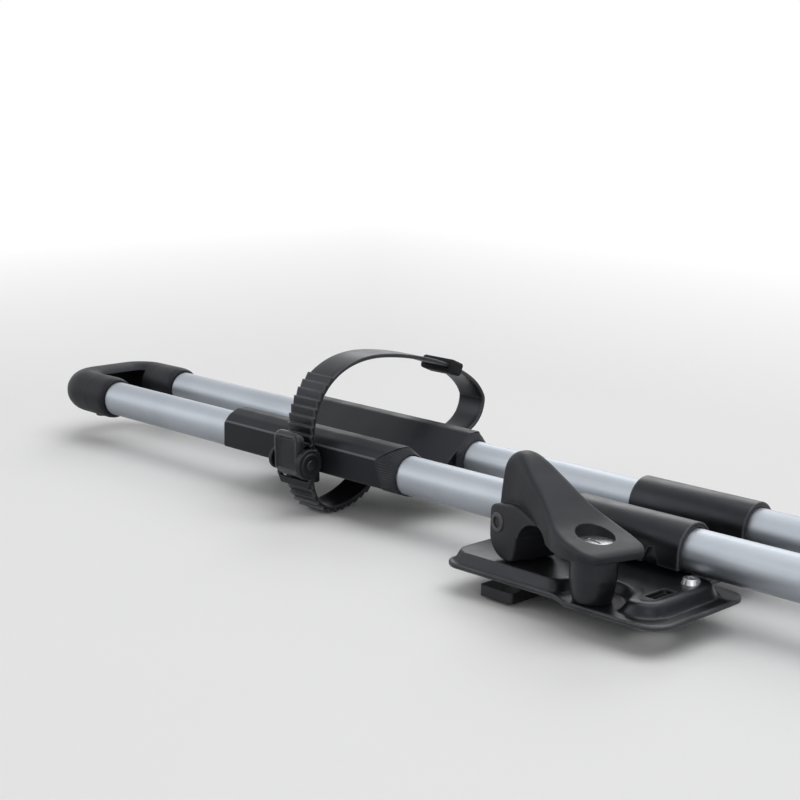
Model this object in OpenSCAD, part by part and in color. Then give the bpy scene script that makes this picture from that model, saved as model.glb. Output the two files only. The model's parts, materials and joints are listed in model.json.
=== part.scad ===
// Twin-rail roof carrier for one bicycle: two tubes on two cam-lever feet, a wheel
// cradle with a ratchet strap near each end, and a folding arm with a screw claw.
// X runs forward along the rails, Z is up, and the origin lies on the seat of the
// rear foot, midway between the rails.

/* [Rails] */
// Outside diameter of each rail tube
rail_d = 20; // [18:0.5:23]
// Wall of each rail tube
rail_wall = 2; // [1.5:0.1:3]
// Distance between the two rail axes
rail_pitch = 50.6; // [48:0.2:58]
// Length of each rail tube
rail_len = 1440; // [1400:5:1500]
// Distance from the rear foot to the rear end of the rails
rear_overhang = 411; // [395:1:440]

/* [End caps] */
// Wall of the cap around a rail
cap_wall = 2.2; // [1.6:0.1:3.5]
// Length of rail held inside a cap
cap_grip = 19.5; // [14:0.5:26]
// Inside corner radius of the cap's handle loop, seen from above
cap_inner_r = 1; // [0.5:0.5:4]
// Wall left above and below the finger pocket in the handle
cap_lip = 4; // [3:0.5:6]
// Diameter of the cap screws
cap_screw_d = 4; // [3:0.5:5]

/* [Wheel cradles] */
// Place of the rear cradle's middle along the rails
rear_cradle_x = -213; // [-230:1:-205]
// Place of the front cradle between the front foot and the cap, as a share of its play there
front_cradle_share = 0.366; // [0.2:0.002:0.6]
// Length of a cradle
cradle_len = 126; // [110:1:140]
// Wall of a cradle around a rail
cradle_wall = 2.8; // [2.2:0.1:4]
// Height of a cradle's crest above the rail axes
cradle_crest = 14.3; // [13.6:0.1:17]
// Width of the flat floor of the tyre groove
groove_w = 8; // [6:0.5:12]
// Length of the tapered collar at each end of a cradle
collar_len = 7; // [4:0.5:10]
// Place of the strap along a cradle, from its middle
strap_dx = 13.5; // [0:0.5:20]
// Diameter of the set screws that hold a cradle on the rails
set_screw_d = 6; // [5:0.5:8]

/* [Straps] */
// Width of a strap
strap_w = 17; // [15:0.5:18]
// Thickness of a strap's plain band
strap_t = 2.2; // [1.8:0.1:3]
// Height of the ratchet teeth above the band
tooth_h = 1.4; // [1.2:0.1:2.2]
// Pitch of the ratchet teeth
tooth_pitch = 4.6; // [4:0.1:5.2]
// Height of a closed strap's crest above the rail axes
strap_crest = 51; // [46:0.5:60]
// Reach of the strap's slack loop beyond a cradle's far face
strap_bulge = 50; // [40:1:56]
// Diameter of the pin in the strap's anchor eye
anchor_pin_d = 5; // [4:0.5:6]
// Wall of the keeper ring around the strap
keeper_wall = 2.4; // [1.6:0.2:3.2]
// Length of strap between the buckle and the keeper ring
keeper_run = 130; // [120:1:140]

/* [Buckles] */
// Thickness of a buckle's base plate
buckle_base = 5; // [4:0.5:8]
// Thickness of a buckle's ears
ear_t = 5; // [3.5:0.5:6]
// Outside radius of a buckle's ears
ear_r = 7.5; // [6.5:0.5:8.5]
// Diameter of the buckle pin
buckle_pin_d = 4; // [3:0.2:4.4]
// Wire of the torsion spring
spring_wire = 0.8; // [0.6:0.1:0.9]

/* [Feet] */
// Distance between the rear and the front foot
foot_span = 640; // [600:5:670]
// Length of a foot plate along the rails
plate_len = 120; // [112:1:130]
// Thickness of the pressed steel
sheet = 2.5; // [2:0.1:3]
// Height of the rubber pad in a foot plate
pad_h = 5; // [4.5:0.1:7]
// Width of the lip at a plate's front end
plate_lip = 7.5; // [7:0.5:12]
// Length of a tube clamp along the rails
clamp_len = 64; // [56:1:70]
// Thread of the clamp bolts
clamp_bolt_d = 6; // [5:1:6]
// Thread of the draw bolt
draw_bolt_d = 8; // [6:1:8]
// Width of the sliding nut, across the channel that it runs in
t_nut_w = 19; // [16:0.5:23]
// Thickness of the sliding nut
t_nut_h = 5; // [4:0.5:7]
// Depth of the channel lips that the sliding nut grips
t_lip = 5.5; // [4.5:0.5:8]

/* [Cam levers] */
// Distance from the near rail to a lever's hinge
lever_out = 36.5; // [34:0.5:40]
// Turn of a lever out of the rail direction, in degrees
lever_yaw = 15.5; // [12:0.5:20]
// Distance from a lever's hinge to its lock
lever_reach = 55; // [53:0.5:58]
// Width of a lever at its hinge
lever_w = 24; // [23:0.5:28]
// Half of the width of a lever's nose
nose_r = 17.5; // [15:0.5:19]
// Length of a lever's nose past its lock
nose_len = 17; // [14:0.5:19]
// Lift of the cam between open and closed
cam_lift = 10; // [8:0.5:10]
// Diameter of the lever pin
lever_pin_d = 7; // [5:0.5:7.5]
// Diameter of the lock post's head
post_d = 20.5; // [18:0.5:21.5]
// Diameter of the lock barrel
lock_d = 16.8; // [14:0.2:18]

/* [Arm] */
// Place of the arm's base along the rails
arm_x = 450; // [440:1:460]
// Outside diameter of the arm tube
arm_d = 22; // [20:0.5:24]
// Wall of the arm tube
arm_wall = 2; // [1.5:0.1:3]
// Length of the arm tube
arm_len = 300; // [270:5:310]
// Lean of the raised arm towards the front, in degrees
arm_lean = 8; // [4:0.5:12]
// Diameter of the arm's pivot bolt
pivot_d = 10; // [8:0.5:12]
// Radius of the claw's throat, between its rubber pads
throat_r = 24; // [20:0.5:27]
// Width of the claw along the tube that it holds
claw_w = 28; // [24:1:34]
// Travel of the moving jaw
jaw_travel = 24; // [16:1:26]
// Thread of the claw spindle
spindle_d = 8; // [6:1:9]
// Diameter of the claw knob
knob_d = 44; // [36:1:48]

/* [Hidden] */
$fn = 48;

// Clearances: fixed seats, turning pins, and pieces that slide past each other
seat_gap = 0.05;
pin_gap = 0.05;
slide_gap = 0.25;
move_gap = 0.3;
over = 1;

// Heights and half widths that several pieces share
half_pitch = rail_pitch / 2;
rail_r = rail_d / 2;
plate_top = pad_h + sheet;
rail_z = plate_top + slide_gap + rail_r;
plate_back = -plate_len / 2 - 3.25;
plate_front = plate_back + plate_len;
front_end_x = rail_len - rear_overhang;
cradle_reach = cradle_len / 2 + collar_len;
front_foot_end = foot_span + plate_front;
front_room = front_end_x - cap_grip - front_foot_end - 2 * cradle_reach;
front_cradle_x = front_foot_end + cradle_reach + front_cradle_share * front_room;

// Colours as the object shows them
black_plastic = [0.10, 0.10, 0.11];
black_steel = [0.13, 0.13, 0.14];
grey_plastic = [0.20, 0.20, 0.21];
rubber = [0.07, 0.07, 0.07];
alloy = [0.80, 0.82, 0.84];
zinc = [0.70, 0.71, 0.73];

// A rectangle about the origin with true round corners
module round_rect(size, r) {
    square([size.x - 2 * r, size.y], center = true);
    square([size.x, size.y - 2 * r], center = true);
    for (x = [-1, 1], y = [-1, 1])
        translate([x * (size.x / 2 - r), y * (size.y / 2 - r)]) circle(r = r);
}

// The same, given by its low and high corners
module round_span(low, high, r) {
    translate((low + high) / 2) round_rect(high - low, r);
}

// Outline corners eased by short arcs of one radius
function unit(v) = v / norm(v);
function eased(points, r, steps = 4) = [
    for (i = [0:len(points) - 1])
        let (p = points[i],
             a = unit(points[(i + len(points) - 1) % len(points)] - p),
             b = unit(points[(i + 1) % len(points)] - p),
             half = acos(a * b) / 2,
             centre = p + unit(a + b) * r / sin(half),
             from = p + a * r / tan(half) - centre,
             turn = sign(cross(from, p + b * r / tan(half) - centre)) * (180 - 2 * half))
        for (k = [0:steps])
            let (t = turn * k / steps)
            centre + [from.x * cos(t) - from.y * sin(t), from.x * sin(t) + from.y * cos(t)]
];

// Extrusions of an outline: along X from an outline in Y and Z, and along Y from X and Z
module along_x(length) {
    rotate([90, 0, 90]) linear_extrude(length, center = true) children();
}
module along_y(length) {
    rotate([90, 0, 0]) linear_extrude(length, center = true) children();
}

// Round bars along X and along Y, centred
module bar_x(d, length) {
    rotate([0, 90, 0]) cylinder(h = length, d = d, center = true);
}
module bar_y(d, length) {
    rotate([90, 0, 0]) cylinder(h = length, d = d, center = true);
}

// Hexagon head or nut, across-flats size from the thread
function hex_d(thread) = thread * 1.65 / cos(30);
module hex(thread, height) {
    cylinder(h = height, d = hex_d(thread), $fn = 6);
}

// Rails

cap_screw_x = cap_grip / 2;

module rail(side) {
    color(alloy) difference() {
        translate([front_end_x - rail_len / 2, side * half_pitch, rail_z])
            difference() {
                bar_x(rail_d, rail_len);
                bar_x(rail_d - 2 * rail_wall, rail_len + 2 * over);
            }
        for (front = [0, 1])
            at_end(front) translate([-cap_screw_x, side * half_pitch, -rail_d])
                cylinder(h = rail_d, d = cap_screw_d + 2 * seat_gap);
    }
}

// End caps: a handle loop joining both rails, its X axis pointing out of the rails

cap_r = rail_r + seat_gap + cap_wall;
cap_bend = cap_r + cap_inner_r;
cap_stop = 2;
cap_bar_x = cap_stop + cap_bend;

module at_end(front) {
    translate([front ? front_end_x : -rear_overhang, 0, rail_z])
        mirror([front ? 0 : 1, 0, 0]) children();
}

module end_cap() {
    pocket_y = 2 * (half_pitch - cap_bend) + cap_r;
    color(black_plastic) difference() {
        union() {
            for (s = [-1, 1]) {
                translate([(cap_stop - cap_grip) / 2, s * half_pitch, 0])
                    bar_x(2 * cap_r, cap_grip + cap_stop);
                translate([cap_stop, s * (half_pitch - cap_bend), 0]) rotate(s > 0 ? 0 : -90)
                    rotate_extrude(angle = 90) translate([cap_bend, 0]) circle(r = cap_r);
            }
            translate([cap_bar_x, 0, 0]) bar_y(2 * cap_r, 2 * (half_pitch - cap_bend));
        }
        for (s = [-1, 1]) {
            translate([-cap_grip / 2 - over / 2, s * half_pitch, 0])
                bar_x(rail_d + 2 * seat_gap, cap_grip + over);
            translate([-cap_screw_x, s * half_pitch, -cap_r - over])
                cylinder(h = cap_r, d = cap_screw_d + 2 * seat_gap);
        }
        translate([cap_bar_x - cap_r - over, -pocket_y / 2, cap_lip - cap_r])
            cube([cap_r + over + cap_r / 3, pocket_y, 2 * (cap_r - cap_lip)]);
    }
}

module end_cap_screws() {
    head_h = 2.2;
    length = cap_wall + rail_wall + 2;
    color(zinc) for (front = [0, 1], s = [-1, 1])
        at_end(front) translate([-cap_screw_x, s * half_pitch, -cap_r]) {
            translate([0, 0, -head_h]) cylinder(h = head_h, d1 = cap_screw_d * 1.5, d2 = cap_screw_d * 2);
            cylinder(h = length, d = cap_screw_d);
        }
}

// Wheel cradles: a pair of sleeves on the rails with a tyre groove between them.
// Their own frame has its origin midway between the rail axes.

cradle_r = rail_r + slide_gap + cradle_wall;
cradle_face = half_pitch + cradle_r;
web_t = 5;
anchor_y = cradle_face + anchor_pin_d / 2 + 4;
anchor_z = -4;
anchor_r = anchor_pin_d / 2 + 2.5;
lug_t = 5;
lug_x = strap_w / 2 + move_gap + lug_t / 2;

module at_cradle(front) {
    translate([front ? front_cradle_x : rear_cradle_x, 0, rail_z]) children();
}

function cradle_half() = [
    [groove_w / 2, 0],
    [half_pitch - 2, cradle_crest],
    [half_pitch + 4, cradle_crest],
    [cradle_face, cradle_crest - 5],
    [cradle_face, -cradle_r],
    [half_pitch - cradle_r, -cradle_r],
    [half_pitch - cradle_r - web_t / 2, -web_t]
];

module cradle() {
    half = cradle_half();
    mirrored = [for (i = [len(half) - 1:-1:0]) [-half[i].x, half[i].y]];
    color(black_plastic) difference() {
        union() {
            along_x(cradle_len) polygon(eased(concat(half, mirrored), 2));
            for (s = [-1, 1], e = [-1, 1])
                translate([e * cradle_len / 2, s * half_pitch, 0]) rotate([0, e * 90, 0])
                    cylinder(h = collar_len, r1 = cradle_r - 0.4, r2 = rail_r + slide_gap + cradle_wall / 2);
            for (e = [-1, 1])
                translate([strap_dx + e * lug_x, 0, anchor_z]) along_x(lug_t) {
                    translate([anchor_y, 0]) circle(r = anchor_r);
                    translate([cradle_face - over, -anchor_r])
                        square([anchor_y - cradle_face + over, 2 * anchor_r]);
                }
        }
        for (s = [-1, 1]) {
            translate([0, s * half_pitch, 0])
                bar_x(rail_d + 2 * slide_gap, cradle_len + 2 * (collar_len + over));
            translate([0, s * half_pitch, -cradle_r - over])
                cylinder(h = cradle_r, d = set_screw_d + 2 * seat_gap);
        }
        translate([strap_dx, anchor_y, anchor_z])
            bar_x(anchor_pin_d + 2 * pin_gap, 2 * lug_x + 2 * lug_t);
    }
}

module set_screws() {
    head_h = 4;
    color(zinc) for (s = [-1, 1])
        translate([0, s * half_pitch, -cradle_r]) {
            cylinder(h = cradle_wall, d = set_screw_d);
            translate([0, 0, -head_h]) difference() {
                cylinder(h = head_h, d = set_screw_d * 1.6);
                translate([0, 0, -over]) cylinder(h = head_h / 2 + over, d = set_screw_d * 0.8, $fn = 6);
            }
        }
}

// Straps: a band that runs from its tail under the near sleeve, up through the buckle,
// over the rim and down to the anchor eye. The route is a chain of cubic curves in Y and Z.

strap_y = -(cradle_face + buckle_base + move_gap + strap_t / 2);
channel_low = -8;
channel_high = 12.5;
tail_end = [-3, -cradle_r - 9];
tail_low = [strap_y + 16, -cradle_r - 14];
bulge_at = [cradle_face + strap_bulge, 17];
eye_end = [anchor_y + anchor_r - 0.5, anchor_z];

function cubic(a, b, c, d, t) =
    a * pow(1 - t, 3) + 3 * b * t * pow(1 - t, 2) + 3 * c * t * t * (1 - t) + d * pow(t, 3);
function leg(a, b, c, d, steps) = [for (i = [0:steps - 1]) cubic(a, b, c, d, i / steps)];

tail_leg = concat(
    leg(tail_end, tail_end + [-9, -4], tail_low + [9, 0], tail_low, 10),
    leg(tail_low, tail_low + [-10, 0], [strap_y, channel_low - 9], [strap_y, channel_low], 12)
);
route = concat(
    tail_leg,
    [[strap_y, channel_low]],
    leg([strap_y, channel_high], [strap_y, channel_high + 22], [-30, strap_crest], [0, strap_crest], 20),
    leg([0, strap_crest], [22, strap_crest], bulge_at + [-8, 22], bulge_at, 24),
    leg(bulge_at, bulge_at + [0, -18], eye_end + [18, 0], eye_end, 18),
    [eye_end]
);
run = [for (i = 0, s = 0; i < len(route); s = s + (i + 1 < len(route) ? norm(route[i + 1] - route[i]) : 0),
       i = i + 1) s];
run_y = [for (i = [0:len(route) - 1]) [run[i], route[i].x]];
run_z = [for (i = [0:len(route) - 1]) [run[i], route[i].y]];
strap_len = run[len(run) - 1];
tail_len = run[len(tail_leg)];
tooth_end = tail_len + channel_high - channel_low + 52;

function on_strap(s) = [lookup(s, run_y), lookup(s, run_z)];
function heading(s) = unit(on_strap(min(s + 0.4, strap_len)) - on_strap(max(s - 0.4, 0)));
function off_strap(s, out) = on_strap(s) + out * [-heading(s).y, heading(s).x];

// One tooth rises over a fifth of the pitch, is flat for a quarter and falls away
function teeth_from() = -floor(tail_len / tooth_pitch) + 1;
function teeth_to() = floor((tooth_end - tail_len) / tooth_pitch);
smooth_step = 4;

module strap_band() {
    outer = strap_t / 2;
    first_smooth = tail_len + (teeth_to() + 1) * tooth_pitch;
    toothed = [
        for (k = [teeth_from():teeth_to()], p = [[0, 0], [0.2, tooth_h], [0.45, tooth_h]])
            off_strap(tail_len + (k + p[0]) * tooth_pitch, outer + p[1])
    ];
    top = [for (s = [first_smooth:smooth_step:strap_len]) off_strap(s, outer)];
    under = [for (s = [strap_len:-smooth_step:0]) off_strap(s, -outer)];
    polygon(concat([off_strap(0, -outer), off_strap(0, outer)], toothed, top,
        [off_strap(strap_len, outer)], under));
}

module strap() {
    color(black_plastic) translate([strap_dx, 0, 0]) difference() {
        along_x(strap_w) {
            strap_band();
            translate([anchor_y, anchor_z]) circle(r = anchor_r);
        }
        translate([0, anchor_y, anchor_z]) bar_x(anchor_pin_d + 2 * pin_gap, strap_w + 2 * over);
    }
}

module strap_pin() {
    head_t = 1.2;
    length = 2 * lug_x + lug_t;
    color(zinc) translate([strap_dx, anchor_y, anchor_z]) {
        bar_x(anchor_pin_d, length);
        for (e = [-1, 1]) translate([e * (length + head_t) / 2, 0, 0]) bar_x(anchor_pin_d * 1.5, head_t);
    }
}

// A ring on the slack side of the strap, which keeps the loop flat
module strap_keeper() {
    at = tail_len + channel_high - channel_low + keeper_run;
    long = 9;
    inner = [strap_w, strap_t] + 2 * [move_gap, move_gap];
    outer = inner + 2 * [keeper_wall, keeper_wall];
    tilt = atan2(heading(at).y, heading(at).x);
    color(rubber) translate([strap_dx, on_strap(at).x, on_strap(at).y]) rotate([tilt, 0, 0])
        rotate([90, 0, 0]) linear_extrude(long, center = true) difference() {
            round_rect(outer, keeper_wall * 0.8);
            square(inner, center = true);
        }
}

// Buckles: base and ears on the cradle's near face, and a flip lever whose pawl drops
// between the teeth. The lever's outline is taken about the buckle pin, outwards negative.

tip_y = strap_y - strap_t / 2 - tooth_h;
pin_y = tip_y - 3.6;
pin_z = 0.5;
ear_gap = 20.8;
ear_x = (ear_gap + ear_t) / 2;
lever_top = 13.2;
chin_z = -7.2;
plate_out = -5.4;
pawl_z = channel_low + 4 * tooth_pitch - 0.06 * tooth_pitch - pin_z;
guard_d = 3;
guard_y = -1.6;
guard_z = chin_z - guard_d / 2 - 0.9;
coil_bay = 7;

module at_buckle_pin() {
    translate([strap_dx, pin_y, pin_z]) children();
}

module buckle() {
    base_low = -10.5;
    base_high = 11.5;
    depth = -cradle_face - pin_y;
    color(black_plastic) difference() {
        union() {
            translate([strap_dx, -cradle_face - buckle_base / 2, (base_low + base_high) / 2])
                rotate([90, 0, 0]) linear_extrude(buckle_base, center = true)
                    round_rect([ear_gap + 2 * ear_t, base_high - base_low], 2);
            for (e = [-1, 1]) translate([strap_dx + e * ear_x, pin_y, pin_z]) along_x(ear_t) {
                circle(r = ear_r);
                translate([0, -ear_r]) square([depth, 2 * ear_r]);
            }
            for (e = [-1, 1]) translate([strap_dx + e * ear_x, pin_y + guard_y, pin_z + guard_z / 2])
                along_x(ear_t) square([guard_d, -guard_z + guard_d], center = true);
            translate([strap_dx, pin_y + guard_y, pin_z + guard_z]) bar_x(guard_d, ear_gap + ear_t);
        }
        at_buckle_pin() bar_x(buckle_pin_d + 2 * pin_gap, ear_gap + 2 * ear_t + 2 * over);
    }
}

module buckle_pin() {
    head_t = 1;
    length = ear_gap + 2 * ear_t;
    color(zinc) at_buckle_pin() {
        bar_x(buckle_pin_d, length);
        for (e = [-1, 1]) translate([e * (length + head_t) / 2, 0, 0]) bar_x(buckle_pin_d * 1.7, head_t);
    }
}

module release_lever() {
    wide = ear_gap - 2 * move_gap;
    hub_r = buckle_pin_d / 2 + 1.3;
    pawl_reach = 3.6 + 0.6 * tooth_h;
    color(black_plastic) at_buckle_pin() difference() {
        union() {
            along_x(wide) {
                polygon(eased([
                    [plate_out, lever_top], [plate_out, -3], [-3.2, chin_z], [-1, chin_z],
                    [-1, lever_top]
                ], 0.8));
                circle(r = hub_r);
            }
            along_x(strap_w - 2) polygon([
                [-2, pawl_z - 1.6], [pawl_reach, pawl_z - 0.3], [pawl_reach, pawl_z + 0.3], [-2, pawl_z + 2.4]
            ]);
        }
        bar_x(buckle_pin_d + 2 * pin_gap, wide + 2 * over);
        // Raised rim around a shallow panel
        translate([0, plate_out, (lever_top + chin_z) / 2 + 1.2]) rotate([90, 0, 0])
            linear_extrude(2, center = true) round_rect([wide - 6, lever_top - chin_z - 8], 3);
        // Bay for the torsion spring
        translate([-coil_bay / 2, -3.4, chin_z - over]) cube([coil_bay, 9, pawl_z - 2 - chin_z]);
    }
}

// Torsion spring: an unbroken wire that winds along the pin, with a leg at each end
coil_turns = 4;
coil_pitch = spring_wire + 0.5;
coil_r = buckle_pin_d / 2 + spring_wire / 2 + 0.2;
curl_rings = 8;
wire_sides = 6;
coil_half = coil_turns * coil_pitch / 2;
coil_path = concat(
    [[-coil_half, guard_y + (guard_d + spring_wire) / 2 + 0.2, guard_z + 0.4], [-coil_half, coil_r, -2]],
    [for (i = [0:coil_turns * curl_rings])
        let (a = 360 * i / curl_rings)
        [-coil_half + coil_pitch * i / curl_rings, coil_r * cos(a), coil_r * sin(a)]],
    [[coil_half, coil_r, 2], [coil_half, coil_r, pawl_z - 3.4]]
);

function path_dir(path, i) = unit(path[min(i + 1, len(path) - 1)] - path[max(i - 1, 0)]);
function ring_at(path, i, r) =
    let (d = path_dir(path, i), u = unit(cross(d, [1, 0.01, 0])), v = cross(d, u))
    [for (k = [0:wire_sides - 1])
        path[i] + r * (cos(360 * k / wire_sides) * u + sin(360 * k / wire_sides) * v)];

module wire(path, d) {
    rings = len(path);
    points = [for (i = [0:rings - 1]) each ring_at(path, i, d / 2)];
    sides = [
        for (i = [0:rings - 2], k = [0:wire_sides - 1])
            let (a = i * wire_sides + k, b = i * wire_sides + (k + 1) % wire_sides)
            each [[a, b + wire_sides, b], [a, a + wire_sides, b + wire_sides]]
    ];
    ends = [
        for (k = [1:wire_sides - 2])
            each [[0, k, k + 1],
                  [(rings - 1) * wire_sides, (rings - 1) * wire_sides + k + 1, (rings - 1) * wire_sides + k]]
    ];
    polyhedron(points, concat(sides, ends));
}

least_gap = min([
    for (i = [0:len(coil_path) - 1], j = [i + curl_rings / 2 + 1:1:len(coil_path) - 1])
        norm(coil_path[i] - coil_path[j])
]) - spring_wire;
echo(least_gap_in_spring = least_gap);

module release_spring() {
    color(zinc) at_buckle_pin() wire(coil_path, spring_wire);
}

// Feet: a pressed plate, rubber pad, double-saddle clamp, cam lever, draw bolt and lock post.
// Their own frame has its origin on the seat, midway between the rails.

near_y = -half_pitch;
hinge_x = plate_back + 26.4;
hinge_y = near_y - lever_out;
hinge_z = plate_top + 16.5;
cam_gap = 0.3;
cam_r = hinge_z - plate_top - cam_gap;
post_x = hinge_x + lever_reach * cos(lever_yaw);
post_y = hinge_y - lever_reach * sin(lever_yaw);
plate_near = post_y - post_d / 2 + 0.5;
plate_step = plate_near + 4.5;
plate_mid = near_y + 6.3;
plate_far = half_pitch + 14;
plate_r = 11;
tongue_r = 6;
well_r = post_d / 2 + 5;
nut_h = clamp_bolt_d * 0.75;
clamp_bolt_x = clamp_len / 2 - 13;
pad_screw_d = 5;
pad_screw_x = clamp_len / 2 + 7.5;
pad_screw_y = near_y - rail_r - 3.2;
slot_x = plate_front - plate_lip - 10;

module at_foot(front) {
    translate([front ? foot_span : 0, 0, 0]) children();
}

module at_lever() {
    translate([hinge_x, hinge_y, hinge_z]) rotate(-lever_yaw) children();
}

// Raised part of a foot plate: wide in front of the rails, with a tongue below the tube clamp
module plateau(inset) {
    difference() {
        union() {
            round_span([plate_back + 2 + inset, plate_step + 2 + inset],
                [plate_front - plate_lip - inset, plate_mid - plate_lip - inset], plate_r - inset);
            round_span([-clamp_len / 2 + inset, plate_step + 20],
                [clamp_len / 2 - inset, plate_far - 3 - inset], tongue_r - inset);
        }
        translate([post_x, post_y]) circle(r = well_r + inset);
    }
}

module foot_plate() {
    color(black_steel) difference() {
        union() {
            linear_extrude(sheet) {
                round_span([plate_back, plate_step], [plate_front, plate_mid], plate_r);
                round_span([post_x - well_r - 2, plate_near], [plate_front, plate_mid], plate_r);
                round_span([-clamp_len / 2 - 3, plate_step + 20], [clamp_len / 2 + 3, plate_far], tongue_r);
            }
            linear_extrude(plate_top) plateau(0);
        }
        translate([0, 0, -over]) linear_extrude(pad_h + over) plateau(sheet);
        translate([hinge_x, hinge_y, 0]) cylinder(h = plate_top + over, d = draw_bolt_d + 1);
        for (s = [-1, 1]) translate([s * clamp_bolt_x, 0, 0])
            cylinder(h = plate_top + over, d = clamp_bolt_d + 2 * seat_gap);
        translate([pad_screw_x, pad_screw_y, 0])
            cylinder(h = plate_top + over, d = pad_screw_d + 2 * seat_gap);
        translate([slot_x, hinge_y, 0]) rotate(-lever_yaw) translate([-3, -7, 0])
            cube([6, 14, plate_top + over]);
    }
}

module foot_pad() {
    color(rubber) difference() {
        linear_extrude(pad_h) plateau(sheet + slide_gap);
        translate([hinge_x, hinge_y, -over]) cylinder(h = pad_h + 2 * over, d = draw_bolt_d + 4);
        for (s = [-1, 1]) translate([s * clamp_bolt_x, 0, -over])
            cylinder(h = pad_h + 2 * over, d = hex_d(clamp_bolt_d) + 1);
        translate([pad_screw_x, pad_screw_y, -over])
            cylinder(h = pad_h + 2 * over, d = pad_screw_d + 2 * seat_gap);
        translate([slot_x, hinge_y, -over]) rotate(-lever_yaw)
            translate([-5, -9, 0]) cube([10, 18, pad_h + 2 * over]);
    }
}

// Two saddles over the rails, joined by the web that the bolts pull down
module tube_clamp() {
    inner = rail_r + slide_gap;
    outer = inner + sheet;
    drop = inner - 4;
    notch_x = clamp_len * 0.27;
    color(black_steel) difference() {
        along_x(clamp_len) {
            for (s = [-1, 1]) translate([s * half_pitch, rail_z]) {
                difference() {
                    union() {
                        circle(r = outer);
                        translate([s > 0 ? -outer : 0, plate_top - rail_z]) square([outer, rail_z - plate_top]);
                        translate([s > 0 ? 0 : -outer, -drop]) square([outer, drop]);
                    }
                    circle(r = inner);
                    translate([-inner, -rail_z]) square([2 * inner, rail_z]);
                    translate([s > 0 ? 0 : -outer - over, -rail_z]) square([outer + over, rail_z - drop]);
                }
            }
            translate([-half_pitch + inner, plate_top]) square([rail_pitch - 2 * inner, sheet]);
        }
        for (s = [-1, 1]) {
            translate([s * clamp_bolt_x, 0, 0]) cylinder(h = rail_z, d = clamp_bolt_d + 2 * seat_gap);
            // Relief notch in the free flank
            translate([notch_x, s * (half_pitch + outer), rail_z - drop]) along_y(3 * sheet)
                polygon([[-4, -over], [4, -over], [1, 7], [-1, 7]]);
        }
    }
}

module clamp_bolts() {
    head_h = clamp_bolt_d * 0.7;
    length = 2 * sheet + nut_h;
    color(zinc) for (s = [-1, 1]) translate([s * clamp_bolt_x, 0, plate_top + sheet]) {
        hex(clamp_bolt_d, head_h);
        translate([0, 0, -length]) cylinder(h = length, d = clamp_bolt_d);
    }
}

module clamp_nuts() {
    color(zinc) for (s = [-1, 1]) translate([s * clamp_bolt_x, 0, pad_h - nut_h]) difference() {
        hex(clamp_bolt_d, nut_h);
        translate([0, 0, -over]) cylinder(h = nut_h + 2 * over, d = clamp_bolt_d + 2 * seat_gap);
    }
}

module pad_screw() {
    head_h = 2.6;
    length = sheet + pad_h - 1;
    color(zinc) translate([pad_screw_x, pad_screw_y, plate_top]) {
        difference() {
            cylinder(h = head_h, d1 = pad_screw_d * 1.7, d2 = pad_screw_d * 1.4);
            translate([0, 0, head_h / 2]) cylinder(h = head_h, d = pad_screw_d * 0.7, $fn = 6);
        }
        translate([0, 0, -length]) cylinder(h = length, d = pad_screw_d);
    }
}

// Draw bolt: an eye on the lever pin, with a shank that pulls the sliding nut
eye_w = 12;
eye_r = cam_r - cam_lift;

module draw_bolt() {
    color(zinc) difference() {
        union() {
            at_lever() bar_y(2 * eye_r, eye_w);
            translate([hinge_x, hinge_y, -t_lip - t_nut_h])
                cylinder(h = hinge_z + t_lip + t_nut_h, d = draw_bolt_d);
        }
        at_lever() bar_y(lever_pin_d + 2 * pin_gap, eye_w + 2 * over);
    }
}

module t_nut() {
    long = 30;
    color(zinc) translate([hinge_x, hinge_y, -t_lip - t_nut_h]) difference() {
        linear_extrude(t_nut_h) round_rect([t_nut_w, long], 2);
        translate([0, 0, -over]) cylinder(h = t_nut_h + 2 * over, d = draw_bolt_d + 2 * seat_gap);
    }
}

// Cam lever: its outlines are taken about the hinge, X towards the nose. The heel is an
// involute, so the bolt sinks in step with the lever's turn and the cam never leaves the plate.

cam_slope = cam_lift / (PI / 2);
heel = [
    for (a = [0:10:90])
        (cam_r - cam_lift * a / 90) * [-sin(a), -cos(a)] + cam_slope * [cos(a), -sin(a)]
];
back_x = eye_r;
horn_h = 31.6;
nose_low = -0.5;
nose_corner = 8;
arch_x = 28;
arch_r = 13.3;
arch_z = -8;
lock_z = 4.5;
lock_h = 3.2;
stem_d = 5;
stem_len = 3;
stem_run = lock_z - lock_h - nose_low + stem_len;
foot_x = 11;
nose_x = lever_reach + nose_len;

// The lock's own frame: origin on its face
module at_lock() {
    translate([lever_reach, 0, lock_z]) children();
}

module lever_side() {
    polygon(concat(heel, [
        [-back_x, 8], [-4.6, 14], [-2, 24], [0, 29.4], [3, horn_h], [7, horn_h - 0.8], [13, 27.4],
        [20, 23], [30, 17.6], [38, 13.4], [46, 9.8], [lever_reach + 8, 5.6], [nose_x - 1.5, 3.6],
        [nose_x, 2.4], [nose_x, 0.8], [nose_x - 1.3, nose_low], [arch_x + arch_r, nose_low], [foot_x + 3, nose_low],
        [foot_x + 1, -14], [foot_x - 2, -cam_r + 0.2]
    ]));
}

// Plan of the hood: a slim horn that widens to a square nose with round corners
module lever_plan() {
    horn = lever_w / 2 - 5;
    corner_x = nose_x - nose_corner;
    corner_y = nose_r - 1 - nose_corner;
    for (s = [-1, 1]) {
        polygon([
            [-2 * back_x, 0], [-2 * back_x, s * horn], [4, s * horn], [20, s * (horn + 3)], [36, s * (horn + 5.5)],
            [lever_reach - 8, s * nose_r], [corner_x, s * (nose_r - 1)], [nose_x, s * corner_y], [nose_x, 0]
        ]);
        translate([corner_x, s * corner_y]) circle(r = nose_corner);
    }
}

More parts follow.
